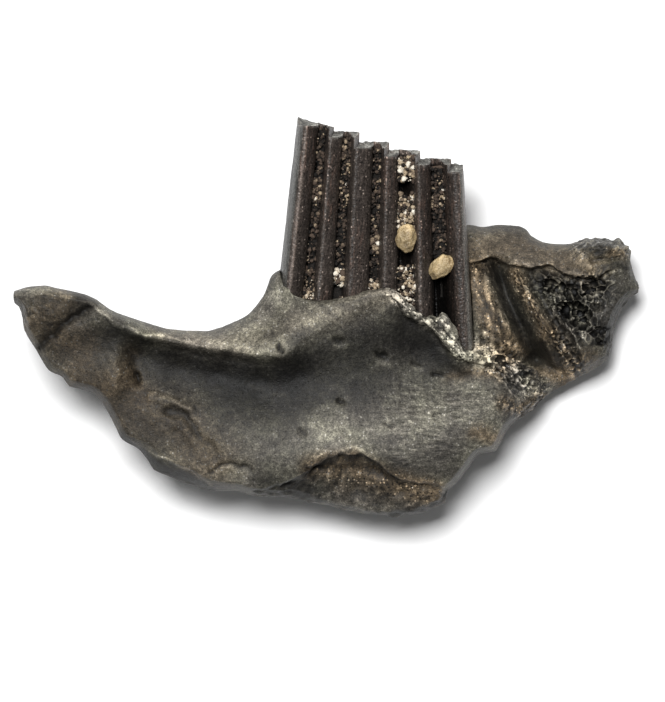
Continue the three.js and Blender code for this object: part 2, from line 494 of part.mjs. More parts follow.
// The chewing face steps down from prism to prism: the front and rear end of each, measured on the
// tongue side, the height of its tongue-side edge, and how steeply the other edge falls to the rear.
const PRISMS = [
  { from: -4.6, to: -2.52, top: 8.74, fall: 0.27 },
  { from: -2.52, to: -1.34, top: 8.22, fall: 0.05 },
  { from: -1.34, to: 0.04, top: 7.74, fall: 0.03 },
  { from: 0.04, to: 1.44, top: 7.36, fall: 0.03 },
  { from: 1.44, to: 2.84, top: 6.97, fall: 0.03 },
  { from: 2.84, to: 4.6, top: 6.64, fall: 0.2 },
];
// The step between two prisms runs a little aslant across the tooth.
const STEP_SKEW = 0.24;
const prismTop = (prism, along, across) => {
  const middle = (prism.from + prism.to) / 2;
  return prism.top + (WEAR_RISE - prism.fall * (along - middle)) * smooth((1.2 - across) / 1.4);
};

// The five folds of the tongue side: where the enamel face ends, the bottom of the fold and the far wall.
const INNER_FOLDS = [
  { face: [-2.97, 0.9], bottom: [-3.0, -2.82, -0.3], wall: [-2.64, 0.4], mouth: [-2.53, 1.1], crest: [-2.42, 1.45] },
  { face: [-1.8, 0.85], bottom: [-1.86, -1.7, -0.35], wall: [-1.47, 0.4], mouth: [-1.36, 1.1], crest: [-1.2, 1.45] },
  { face: [-0.38, 0.85], bottom: [-0.46, -0.3, -0.35], wall: [-0.1, 0.4], mouth: [0.01, 1.1], crest: [0.18, 1.45] },
  { face: [0.76, 0.85], bottom: [0.72, 0.9, -0.35], wall: [1.28, 0.4], mouth: [1.43, 1.1], crest: [1.6, 1.45] },
  { face: [2.18, 0.85], bottom: [2.12, 2.3, -0.35], wall: [2.66, 0.4], mouth: [2.8, 1.0], crest: [3.02, 1.3] },
];
// The five folds of the cheek side, in order from the rear: the near wall, the bottom, the far wall and
// the next crest.
const OUTER_FOLDS = [
  { near: [3.08, -0.6], bottom: [2.99, 2.82, 0.1], far: [2.21, -0.75], crest: [1.8, -1.35] },
  { near: [1.65, -0.7], bottom: [1.6, 1.43, 0.15], far: [0.96, -0.75], crest: [0.6, -1.35] },
  { near: [0.48, -0.7], bottom: [0.35, 0.18, 0.15], far: [-0.3, -0.75], crest: [-0.76, -1.35] },
  { near: [-0.91, -0.7], bottom: [-1.0, -1.17, 0.15], far: [-1.55, -0.75], crest: [-1.92, -1.35] },
  { near: [-2.07, -0.7], bottom: [-2.26, -2.43, 0.1], far: [-2.78, -0.7], crest: [-3.3, -1.3] },
];

// The outline of the enamel, once round from the front of the tooth.
const MOLAR_SECTION = [
  [-4.03, -0.1], [-3.96, 0.7], [-3.8, 1.2], [-3.59, 1.4],
  ...INNER_FOLDS.flatMap((fold) => [
    fold.face,
    [fold.bottom[0], fold.bottom[2]],
    [fold.bottom[1], fold.bottom[2]],
    fold.wall,
    fold.mouth,
    fold.crest,
  ]),
  [3.36, 1.35], [3.54, 1.0], [3.61, 0.0], [3.54, -0.9], [3.31, -1.3],
  ...OUTER_FOLDS.flatMap((fold) => [
    fold.near,
    [fold.bottom[0], fold.bottom[2]],
    [fold.bottom[1], fold.bottom[2]],
    fold.far,
    [fold.crest[0] + 0.2, fold.crest[1] + 0.12],
    fold.crest,
  ]),
  [-3.8, -1.1], [-4.0, -0.6],
];
// The socket is a plain box round the molar, without the folds.
const SOCKET_SECTION = [
  [-4.03, 0.2], [-3.9, 1.0], [-3.5, 1.45], [0, 1.5], [3.2, 1.4], [3.55, 1.0], [3.62, 0],
  [3.55, -1.0], [3.3, -1.35], [0, -1.4], [-3.5, -1.35], [-3.9, -0.9],
].map(([along, across]) => [along + SOCKET_GAP * Math.sign(along), across + SOCKET_GAP * Math.sign(across)]);

// A column that follows the molar: section is its cross-section, and heightAt turns a corner of the
// section and a share of the column, from 0 at the root to 1 at the top, into a height.
function columnSolid(section, heightAt, steps = 1, place = molarPoint) {
  const outline = new THREE.Shape(section.map(([along, across]) => new THREE.Vector2(along, across)));
  const geometry = new THREE.ExtrudeGeometry(outline, { depth: 1, steps, bevelEnabled: false });
  const corners = geometry.getAttribute("position");
  for (let i = 0; i < corners.count; i++) {
    const [along, across, share] = [corners.getX(i), corners.getY(i), 1 - corners.getZ(i)];
    const { x, y, z } = place(along, across, heightAt(share, along, across));
    corners.setXYZ(i, x, y, z);
  }
  return solidFrom(geometry);
}

// The molar: its six prisms, each cut off at its own height and then joined.
function molarSolid() {
  const prisms = PRISMS.map((prism) => {
    const height = (share, along, across) =>
      THREE.MathUtils.lerp(TOOTH_ROOT_Y, prismTop(prism, along, across), share);
    const slab = [
      [prism.from + STEP_SKEW * -0.2, 2],
      [prism.to + STEP_SKEW * -0.2, 2],
      [prism.to + STEP_SKEW * 3, -2],
      [prism.from + STEP_SKEW * 3, -2],
    ];
    const between = columnSolid(slab, (share) => THREE.MathUtils.lerp(TOOTH_ROOT_Y - 1, TOOTH_TOP_Y + 1, share), 1);
    return columnSolid(MOLAR_SECTION, height, 2).intersect(between);
  });
  return prisms.reduce((whole, prism) => whole.add(prism));
}

// Sediment in the folds.

const molar = molarSolid();
// The molar with the sediment's clearance all round it.
const molarAndGap = [[1, 0], [-1, 0], [0, 1], [0, -1], [0.7, 0.7], [-0.7, 0.7]]
  .map(([x, z]) => columnSolid(MOLAR_SECTION, (share) => THREE.MathUtils.lerp(-2, 10, share)).translate([
    x * SEDIMENT_GAP,
    0,
    z * SEDIMENT_GAP,
  ]))
  .reduce((whole, copy) => whole.add(copy));

const lump = (along, y, seed) =>
  0.5 * Math.sin(y * 5.3 + seed * 2.1 + along * 3) + 0.5 * Math.sin(y * 9.7 - along * 7 + seed * 5.7);

// A lumpy column of sediment in one fold, from height low to height high. The fold is cut into the
// tongue side where side is 1 and into the cheek side where it is -1.
function sediment(front, rear, floor, surface, low, high, side, seed) {
  const section = [
    [front - 0.15, floor],
    [rear + 0.15, floor],
    [rear + 0.15, surface],
    [THREE.MathUtils.lerp(front, rear, 0.7), surface],
    [THREE.MathUtils.lerp(front, rear, 0.3), surface],
    [front - 0.15, surface],
  ];
  if (side < 0) section.reverse();
  const steps = Math.max(3, Math.round((high - low) / (side > 0 ? 0.62 : 1.6)));
  const lumpy = (along, across, y) => {
    const isSurface = Math.abs(across - surface) < 1e-6;
    return molarPoint(along, across + (isSurface ? 0.1 * side * lump(along, y, seed) : 0), y);
  };
  const ragged = (share, along, across) =>
    THREE.MathUtils.lerp(low, high, share) + 0.08 * lump(along * 3, across * 2 + share * 4, seed) * (share < 1 ? 1 : 0.5);
  const column = columnSolid(section, ragged, steps, lumpy);
  return column.subtract(molarAndGap).decompose().sort((a, b) => b.volume() - a.volume())[0];
}

// Columns of the tongue side: fold number, name, and the heights between which the fold is filled.
const INNER_SEDIMENT = [
  [0, "sediment_inner_1", 0.45, 8.6],
  [1, "sediment_inner_2", 0.45, 8.1],
  [2, "sediment_inner_3", 0.6, 7.62],
  [3, "sediment_inner_4_upper", 6.3, 7.26],
  [3, "sediment_inner_4_middle", 4.25, 5.5],
  [3, "sediment_inner_4_lower", -0.4, 2.2],
  [4, "sediment_inner_5", 2.95, 6.84],
];

// A rounded sand grain lodged in a fold, worn to an uneven shape and kept clear of the enamel.
function sandGrain([x, y, z], [width, height, thickness], turn, seed) {
  const ball = new THREE.IcosahedronGeometry(0.5, 2);
  const corners = ball.getAttribute("position");
  for (let i = 0; i < corners.count; i++) {
    const corner = new THREE.Vector3().fromBufferAttribute(corners, i);
    const uneven = 1 + 0.07 * Math.sin(corner.x * 9 + seed) * Math.cos(corner.y * 7 + corner.z * 8 + seed);
    corner.multiplyScalar(uneven);
    corners.setXYZ(i, corner.x, corner.y, corner.z);
  }
  const place = new THREE.Matrix4().compose(
    new THREE.Vector3(x, y, z),
    new THREE.Quaternion().setFromEuler(new THREE.Euler(0, 0, turn)),
    new THREE.Vector3(width, height, thickness),
  );
  const grain = solidFrom(ball.applyMatrix4(place)).subtract(molarAndGap);
  return grain.decompose().sort((a, b) => b.volume() - a.volume())[0];
}

// The object.

const socket = columnSolid(SOCKET_SECTION, (share) => THREE.MathUtils.lerp(TOOTH_ROOT_Y - 0.25, TOOTH_TOP_Y, share), 4);
const bone = lobeSolid(BODY).add(lobeSolid(REAR)).subtract(socket);

const jaw = new THREE.Group();
jaw.add(piece("jaw_bone", bone, COLOURS.bone, 0.6));
jaw.add(piece("first_molar", molar, COLOURS.tooth, 0.4));
INNER_SEDIMENT.forEach(([index, name, low, high], seed) => {
  const fold = INNER_FOLDS[index];
  const plug = sediment(fold.face[0], fold.mouth[0], fold.bottom[2] + 0.1, 0.72, low, high, 1, seed);
  jaw.add(piece(name, plug, COLOURS.sediment, 0.9));
});
OUTER_FOLDS.forEach((fold, index) => {
  const number = OUTER_FOLDS.length - index;
  const [front, rear, floor] = [fold.far[0] + 0.1, fold.near[0], fold.bottom[2] - 0.1];
  const plug = sediment(front, rear, floor, -0.72, 0.9, PRISMS[number].top, -1, number);
  jaw.add(piece(`sediment_outer_${number}`, plug, COLOURS.sediment, 0.9));
});
jaw.add(piece("sand_grain_upper", sandGrain([3.62, 3.62, 6.5], [0.95, 1.25, 0.9], -0.15, 1), COLOURS.grain, 0.6));
jaw.add(piece("sand_grain_lower", sandGrain([5.2, 2.3, 6.25], [0.9, 1.25, 0.9], -0.6, 4), COLOURS.grain, 0.6));

export default jaw;
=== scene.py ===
"""Fossil muskrat jaw: the looks of a broken right lower jaw with its first molar in place.

The jaw lies on its cheek side. X runs from the broken front to the broken rear, Y from the lower
edge up to the chewing face, and Z up from the table. Shapes are worked out in millimetres and made
metres at the end.
"""

from __future__ import annotations

import itertools
import logging
import math
from dataclasses import dataclass, field
from enum import Enum
from typing import Callable, Iterable, Sequence

import bmesh
import bpy
import numpy as np
from mathutils import Matrix, Vector


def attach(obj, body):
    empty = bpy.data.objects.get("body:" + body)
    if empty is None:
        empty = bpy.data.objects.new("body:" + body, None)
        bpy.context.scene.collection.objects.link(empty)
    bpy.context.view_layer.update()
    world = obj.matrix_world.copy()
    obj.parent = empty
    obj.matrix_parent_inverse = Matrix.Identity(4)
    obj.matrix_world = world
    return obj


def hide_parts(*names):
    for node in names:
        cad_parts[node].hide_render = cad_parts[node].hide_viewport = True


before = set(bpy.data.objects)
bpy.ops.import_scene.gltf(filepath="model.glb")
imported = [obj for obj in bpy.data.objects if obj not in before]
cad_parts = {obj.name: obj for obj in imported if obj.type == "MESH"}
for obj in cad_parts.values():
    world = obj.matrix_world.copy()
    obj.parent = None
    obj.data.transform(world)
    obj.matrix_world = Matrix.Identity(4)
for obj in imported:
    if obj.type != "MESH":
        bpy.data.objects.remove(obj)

log = logging.getLogger("jaw")

Path = Sequence[Sequence[float]]
Value = float | np.ndarray
Field = Callable[[np.ndarray, np.ndarray], np.ndarray]

MM = 0.001  # one millimetre, in metres

# The photographed view.
PHOTO_WIDTH = 665  # pixels
PHOTO_HEIGHT = 702
PIXEL = 0.046  # millimetres that one pixel covers
PHOTO_CENTRE = (0.207, -1.564)  # the place under the middle of the picture, in millimetres
FOCUS_HEIGHT = 6.0  # the height at which a pixel has that size
LENS = 400.0  # a long lens, as the picture shows hardly any perspective
SENSOR = 36.0

# Spacing of the fine surfaces, in millimetres.
BODY_STEP = 0.085
REAR_STEP = 0.07
HIDDEN_STEP = 0.3
EDGE_WIDTH = 0.12  # width of a sharp step


# Curves, surfaces and noise


def lerp(a: Value, b: Value, t: Value) -> Value:
    """Blends from a to b as t goes from 0 to 1."""
    return a + (b - a) * t


def smooth(t: Value) -> np.ndarray:
    """A soft step from 0 to 1."""
    t = np.clip(t, 0.0, 1.0)
    return t * t * (3 - 2 * t)


class Line:
    """A smooth line through a few points, which never overshoots between two of them."""

    def __init__(self, points: Path, column: int = 1) -> None:
        """Works out the line's slopes.

        Args:
            points: the points, in order of x.
            column: which number of each point the line follows.
        """
        self.x = np.array([p[0] for p in points], float)
        self.y = np.array([p[column] for p in points], float)
        slope = np.diff(self.y) / np.diff(self.x)
        before = np.concatenate([slope[:1], slope])
        after = np.concatenate([slope, slope[-1:]])
        product = before * after
        total = np.where(product > 0, before + after, 1.0)
        self.tangent = np.where(product > 0, 2 * product / total, 0.0)

    def __call__(self, x: Value) -> np.ndarray:
        """The line's value at x."""
        at = np.clip(np.asarray(x, float), self.x[0], self.x[-1])
        i = np.clip(np.searchsorted(self.x, at, side="right") - 1, 0, len(self.x) - 2)
        span = self.x[i + 1] - self.x[i]
        t = (at - self.x[i]) / span
        rest = 1 - t
        return (
            self.y[i] * (1 + 2 * t) * rest * rest
            + self.tangent[i] * span * t * rest * rest
            + self.y[i + 1] * t * t * (3 - 2 * t)
            - self.tangent[i + 1] * span * t * t * rest
        )


class Sheet:
    """A thin springy sheet through spot heights."""

    def __init__(self, spots: Path, softness: float = 0.02) -> None:
        """Solves for the sheet.

        Args:
            spots: the spot heights, each x, y and z.
            softness: how far the sheet may miss a spot.
        """
        p = np.array(spots, float)
        count = len(p)
        system = np.zeros((count + 3, count + 3))
        system[:count, :count] = self.bend(p[:, None, 0] - p[:, 0], p[:, None, 1] - p[:, 1])
        system[:count, :count] += softness * np.eye(count)
        system[:count, count] = 1
        system[:count, count + 1 :] = p[:, :2]
        system[count:, :count] = system[:count, count:].T
        self.spots = p
        self.weights = np.linalg.solve(system, np.concatenate([p[:, 2], np.zeros(3)]))

    @staticmethod
    def bend(dx: np.ndarray, dy: np.ndarray) -> np.ndarray:
        """How a spot lifts the sheet at a distance from it."""
        squared = dx * dx + dy * dy
        return squared * np.log(np.maximum(squared, 1e-12))

    def __call__(self, x: np.ndarray, y: np.ndarray) -> np.ndarray:
        """The sheet's height at (x, y)."""
        height = self.weights[-3] + self.weights[-2] * x + self.weights[-1] * y
        for (sx, sy, _), weight in zip(self.spots, self.weights):
            height = height + weight * self.bend(x - sx, y - sy)
        return height


def distance_to_path(x: np.ndarray, y: np.ndarray, path: Path) -> np.ndarray:
    """How far (x, y) is from a path of points."""
    nearest = np.full(np.shape(x), np.inf)
    for (ax, ay, *_), (bx, by, *_) in zip(path, path[1:]):
        dx, dy = bx - ax, by - ay
        t = np.clip(((x - ax) * dx + (y - ay) * dy) / max(dx * dx + dy * dy, 1e-12), 0, 1)
        nearest = np.minimum(nearest, np.hypot(x - ax - t * dx, y - ay - t * dy))
    return nearest


LATTICE_PRIMES = np.array([73856093, 19349663, 83492791])


def dice(cell: np.ndarray, seed: int) -> np.ndarray:
    """A settled random number from 0 to 1 for each cell of a lattice."""
    key = (cell @ LATTICE_PRIMES + seed * 40503).astype(np.uint64)
    key = (key ^ (key >> np.uint64(15))) * np.uint64(2246822519)
    key = (key ^ (key >> np.uint64(13))) * np.uint64(3266489917)
    return ((key ^ (key >> np.uint64(16))) & np.uint64(0xFFFFFF)) / float(0xFFFFFF)


def noise(points: np.ndarray, seed: int = 0) -> np.ndarray:
    """Smooth noise from -1 to 1 at an n by 3 array of points, with lumps about 1 across."""
    cell = np.floor(points).astype(np.int64)
    part = points - cell
    fade = part * part * part * (part * (part * 6 - 15) + 10)
    total = np.zeros(len(points))
    for corner in itertools.product((0, 1), repeat=3):
        share = np.prod(np.where(np.array(corner) == 1, fade, 1 - fade), axis=1)
        total += share * (dice(cell + np.array(corner), seed) * 2 - 1)
    return total


def rough(points: np.ndarray, octaves: int = 3, seed: int = 0) -> np.ndarray:
    """Noise of several sizes on top of each other, each half as large as the one before."""
    total = np.zeros(len(points))
    for octave in range(octaves):
        total += noise(points * 2.03**octave + 7.7 * octave, seed + octave) / 2**octave
    return total


def nearest_seeds(points: np.ndarray, seed: int = 0) -> tuple[np.ndarray, np.ndarray, np.ndarray]:
    """How far the two nearest seeds are, of one random seed a cell, and the nearest one's own number."""
    cell = np.floor(points).astype(np.int64)
    first = np.full(len(points), 9.0)
    second = np.full(len(points), 9.0)
    own = np.zeros(len(points))
    for step in itertools.product((-1, 0, 1), repeat=3):
        near = cell + np.array(step)
        place = near + np.stack([dice(near, seed + k) for k in range(3)], axis=1)
        away = np.linalg.norm(points - place, axis=1)
        closer = away < first
        second = np.where(closer, first, np.minimum(second, away))
        own = np.where(closer, dice(near, seed + 5), own)
        first = np.where(closer, away, first)
    return first, second, own


# Marks on the bone: what is raised, cut or tinted along a path


class Profile(Enum):
    """The cross-section of a mark."""

    ROUND = "round"
    SHARP = "sharp"


@dataclass(frozen=True)
class Mark:
    """Something that follows a path across a surface: a height in millimetres, or the strength of a tint."""

    path: Path
    width: float
    amount: float
    profile: Profile = Profile.ROUND

    def at(self, x: np.ndarray, y: np.ndarray) -> np.ndarray:
        """The mark's amount at (x, y)."""
        path = self.path if len(self.path) > 1 else [self.path[0], self.path[0]]
        away = distance_to_path(x, y, path) / self.width
        return self.amount * np.exp(-away if self.profile is Profile.SHARP else -away * away)


def total_of(marks: Iterable[Mark]) -> Field:
    """A field that adds up several marks."""
    kept = list(marks)
    return lambda x, y: sum((mark.at(x, y) for mark in kept), np.zeros(np.shape(x)))


# The two lobes that the bone is joined from


@dataclass
class Lobe:
    """A closed form of cross-sections, which run through marked lines from its lower to its upper edge."""

    stations: np.ndarray
    lower: Path
    upper: Path
    lower_round: Line
    upper_round: Line
    front: Field
    back: Field
    lines: Callable[[Lobe], list[tuple[Callable, Callable]]]
    front_rows: Sequence[int]
    back_rows: int
    lower_y: Line = field(init=False)
    upper_y: Line = field(init=False)
    lower_z: Line = field(init=False)
    upper_z: Line = field(init=False)
    lower_path: np.ndarray = field(init=False)
    upper_path: np.ndarray = field(init=False)

    def __post_init__(self) -> None:
        """Prepares the lines of the two edges."""
        self.lower_y = Line(self.lower)
        self.upper_y = Line(self.upper)
        self.lower_z = Line(self.lower, 2)
        self.upper_z = Line(self.upper, 2)
        lines = self.lines(self)
        self.lower_path, self.upper_path = (
            np.stack([along(self.stations), across(along(self.stations))], axis=1)
            for along, across in (lines[0], lines[-1])
        )

    def height(self, face: Field, x: np.ndarray, y: np.ndarray) -> np.ndarray:
        """The height of a face at (x, y), turned over to meet the edges.

        Args:
            face: the face's own height field.
            x: place along the jaw.
            y: place across the jaw.

        Returns:
            The height above the table.
        """
        low, high = self.lower_y(x), self.upper_y(x)
        share = np.clip((y - low) / np.maximum(high - low, 0.01), 0, 1)
        edge = lerp(self.lower_z(x), self.upper_z(x), share)
        from_low = np.clip(distance_to_path(x, y, self.lower_path) / self.lower_round(x), 0, 1)
        from_high = np.clip(distance_to_path(x, y, self.upper_path) / self.upper_round(x), 0, 1)
        bevel = from_low * (1.6 - 0.6 * from_low)
        roll = np.sqrt(1 - (1 - from_high) ** 2)
        return lerp(edge, face(x, y), np.minimum(bevel, roll))

    def rings(self) -> np.ndarray:
        """The points of every cross-section, once round from the lower edge over the front face."""
        s = self.stations
        marks = []
        for along, across in self.lines(self):
            x = along(s)
            room = (self.upper_y(x) - self.lower_y(x)) * 0.03
            y = across(x)
            if across not in (self.lower_y, self.upper_y):
                y = np.clip(y, self.lower_y(x) + room, self.upper_y(x) - room)
            marks.append([x, y])
        for i in range(len(marks) - 2, 0, -1):
            marks[i][1] = np.minimum(marks[i][1], marks[i + 1][1] - 0.012)
        rows = [marks[0]]
        for band, count in enumerate(self.front_rows):
            for i in range(1, count + 1):
                t = i / count
                if band == 0:
                    t = lerp(1 - math.cos(t * math.pi / 2), t, 0.5)
                if band == len(self.front_rows) - 1:
                    t = math.sin(t * math.pi / 2)
                rows.append([lerp(marks[band][axis], marks[band + 1][axis], t) for axis in range(2)])
        front = [[x, y, self.height(self.front, x, y)] for x, y in rows]
        back = []
        for i in range(1, self.back_rows):
            share = (1 - math.cos(i / self.back_rows * math.pi)) / 2
            x, y = (lerp(marks[-1][axis], marks[0][axis], share) for axis in range(2))
            back.append([x, y, np.maximum(self.height(self.back, x, y), 0.0)])
        return np.array(front + back).transpose(2, 0, 1)


# The body: front end, toothless gap, inner socket wall and the lower edge

BODY_LOWER = [
    (-14.4, 0.64, 6.6), (-14.17, 0.4, 6.6), (-14.03, -0.05, 6.5), (-14.0, -0.41, 6.5),
    (-13.7, -1.06, 6.4), (-13.4, -1.52, 6.4), (-13.15, -1.98, 6.4), (-12.8, -2.48, 6.4),
    (-12.2, -2.76, 6.4), (-11.9, -3.17, 6.3), (-11.4, -3.31, 6.2), (-10.9, -3.45, 6.2),
    (-10.5, -3.8, 6.1), (-10.1, -4.4, 6.1), (-9.8, -5.0, 6.0), (-9.5, -5.6, 6.0), (-8.7, -6.1, 5.8),
    (-8.3, -6.6, 5.7), (-8.0, -7.05, 5.6), (-7.3, -7.35, 5.4), (-6.3, -7.75, 5.2), (-5.3, -8.0, 5.0),
    (-4.3, -8.0, 4.9), (-3.6, -8.2, 4.7), (-1.7, -8.35, 4.6), (-0.4, -8.6, 4.5), (0.8, -8.9, 4.4),
    (2.2, -9.15, 4.4), (3.1, -9.2, 4.3), (4.1, -9.1, 4.2), (4.7, -8.9, 4.1), (5.35, -8.6, 4.1),
    (5.5, -8.1, 4.0), (5.9, -7.7, 3.9), (6.4, -7.1, 3.7), (7.0, -6.35, 3.5), (7.75, -6.2, 3.4),
    (8.05, -5.7, 3.2), (8.35, -5.15, 3.0), (8.8, -4.75, 2.9), (9.5, -4.3, 2.7), (9.95, -3.75, 2.6),
]  # fmt: skip
BODY_UPPER = [
    (-14.4, 1.2, 6.6), (-13.7, 1.4, 6.6), (-13.0, 1.45, 6.6), (-12.5, 1.35, 6.7), (-11.9, 1.2, 6.8),
    (-11.4, 1.1, 6.9), (-10.7, 0.85, 7.0), (-10.0, 0.35, 6.8), (-9.3, 0.05, 6.5), (-8.2, -0.3, 6.2),
    (-7.3, -0.55, 6.0), (-6.3, -0.63, 5.8), (-5.6, -0.63, 5.7), (-5.0, -0.5, 5.6), (-4.3, -0.2, 5.5),
    (-3.8, 0.05, 5.4), (-3.1, 0.8, 5.3), (-2.8, 1.4, 5.2), (-2.6, 1.9, 5.2), (-2.2, 2.15, 5.3),
    (-1.95, 1.6, 6.0), (-1.6, 1.0, 6.8), (-0.4, 0.75, 6.9), (0.8, 0.9, 7.0), (1.9, 1.2, 7.0),
    (2.9, 1.3, 7.1), (3.4, 0.9, 7.0), (4.0, 0.4, 6.9), (4.6, 0.0, 6.8), (5.0, 0.0, 6.7), (5.2, 0.2, 6.6),
    (5.45, 0.1, 6.55), (5.65, -0.2, 6.5), (5.95, -0.55, 6.3), (6.1, -1.2, 6.2), (6.4, -1.55, 6.0),
    (7.0, -1.5, 5.8), (7.9, -1.6, 5.6), (8.6, -1.9, 5.4), (9.1, -2.2, 5.0), (9.7, -2.5, 4.4),
    (9.95, -3.2, 3.6),
]  # fmt: skip
# The step where the lower edge has broken away.
BREAK_LINE = [
    (-14.4, 1.0), (-13.4, -1.0), (-12.2, -2.5), (-10.9, -3.2), (-9.5, -5.2), (-8.4, -5.8), (-7.5, -6.5),
    (-6.3, -6.95), (-5.7, -7.4), (-5.1, -7.9), (-4.3, -7.95), (-3.6, -7.9), (-2.6, -7.75), (-1.7, -7.4),
    (-0.8, -6.95), (-0.1, -6.5), (0.6, -6.25), (1.4, -6.25), (2.0, -6.5), (2.6, -6.9), (3.1, -7.3),
    (4.2, -7.6), (5.0, -7.65), (5.5, -7.9), (6.4, -7.0), (7.0, -6.25), (8.05, -5.6), (8.8, -4.65),
    (9.95, -3.6),
]  # fmt: skip
# The crest that runs back from the front end, fades under the molar and ends in the torn rim.
CREST_LINE = [
    (-14.4, 1.1), (-13.0, 1.2), (-12.0, 0.95), (-10.7, 0.6), (-9.8, -0.2), (-8.6, -0.75), (-6.8, -1.15),
    (-5.0, -1.45), (-3.1, -1.7), (-1.9, -1.6), (-0.9, -0.8), (0.5, 0.1), (1.9, 0.7), (2.9, 1.15),
    (3.5, 0.2), (4.7, -0.4), (5.4, -1.3), (6.1, -1.9), (7.0, -2.1), (7.9, -2.3), (8.6, -3.0), (9.1, -3.4),
    (9.95, -3.5),
]  # fmt: skip
BODY_FRONT_SPOTS = [
    (-13.9, 0.5, 7.8), (-13.2, 0.8, 8.0), (-12.3, 0.8, 8.15), (-11.4, 0.8, 8.3), (-13.2, -0.3, 7.75),
    (-12.3, 0.0, 8.0), (-13.7, -0.8, 7.5), (-13.1, -1.5, 7.2), (-10.7, 0.6, 8.45), (-9.8, -0.2, 8.35),
    (-8.6, -0.75, 8.15), (-6.8, -1.15, 7.95), (-5.0, -1.45, 7.8), (-3.1, -1.7, 7.65),
    (-1.75, -1.55, 7.55), (-10.0, -1.1, 7.5), (-8.6, -1.65, 7.05), (-6.8, -2.2, 6.85), (-5.0, -2.5, 6.75),
    (-3.1, -2.8, 6.7), (-1.3, -2.6, 6.7), (-11.9, -1.3, 7.5), (-10.9, -1.1, 7.65), (-12.3, -2.2, 7.2),
    (-10.9, -2.4, 7.35), (-9.8, -2.4, 7.4), (-10.5, -3.4, 7.2), (-9.1, -3.8, 7.15), (-7.7, -3.8, 7.15),
    (-6.3, -4.1, 7.05), (-8.2, -5.2, 7.1), (-5.9, -5.7, 7.15), (-7.3, -6.1, 7.05), (-4.5, -3.8, 6.85),
    (-3.1, -5.2, 7.1), (-4.5, -6.6, 7.1), (-1.3, -3.8, 6.75), (-1.3, -5.7, 7.1), (1.0, -3.4, 6.65),
    (1.0, -5.2, 7.0), (3.3, -3.1, 6.35), (3.3, -5.2, 6.95), (5.6, -2.9, 6.0), (5.6, -5.2, 6.75),
    (7.5, -3.1, 5.9), (7.5, -5.2, 6.2), (7.9, -3.9, 6.0), (0.6, -6.1, 7.25), (-1.3, -6.8, 7.1),
    (3.3, -6.8, 6.9), (5.2, -6.8, 6.5), (8.9, -3.9, 4.6), (9.6, -3.5, 3.9), (-2.7, 0.3, 6.3),
    (-1.7, 0.3, 6.9), (-0.8, 0.1, 7.35), (-1.3, -0.8, 7.5), (0.6, 0.3, 7.6), (0.8, -0.6, 7.4),
    (2.9, 1.0, 7.75), (2.9, -0.4, 7.15), (1.9, -1.75, 6.8), (0.1, -1.75, 7.0), (4.2, -0.2, 7.2),
    (4.5, -1.5, 6.35), (6.1, -2.0, 6.5), (6.3, -2.6, 6.0), (7.6, -2.0, 6.0), (8.8, -2.7, 5.3),
    (-5.9, -1.0, 7.72), (-3.6, -1.1, 7.4), (-8.2, -0.5, 7.98), (-0.4, -7.5, 6.5), (1.5, -7.5, 6.4),
    (3.3, -8.2, 6.3), (4.7, -8.2, 6.0), (2.4, -8.8, 6.1), (-2.0, -7.9, 6.6),
]  # fmt: skip
BODY_BACK_SPOTS = [
    (-14.2, 0.6, 5.4), (-12.3, -1.1, 5.0), (-12.3, 0.6, 5.6), (-10.5, -1.5, 4.4), (-9.6, -3.8, 4.3),
    (-8.2, -2.9, 3.7), (-8.2, -1.0, 4.4), (-7.7, -5.7, 4.2), (-5.9, -3.8, 2.6), (-5.9, -1.1, 3.8),
    (-5.0, -6.6, 3.4), (-3.6, -3.8, 1.3), (-3.0, -1.0, 2.6), (-2.4, 1.2, 3.2), (-1.3, -2.9, 0.3),
    (-1.3, -6.1, 1.6), (1.0, -2.4, -0.15), (1.0, -4.2, 0.0), (1.0, -7.0, 1.6), (3.3, -2.4, -0.2),
    (3.3, -4.4, 0.1), (3.3, -7.2, 1.7), (5.6, -2.0, 0.0), (5.6, -5.0, 0.7), (7.0, -4.7, 1.0),
    (8.5, -3.4, 0.9), (0.5, 0.5, 1.2), (3.5, 0.3, 0.8),
]  # fmt: skip

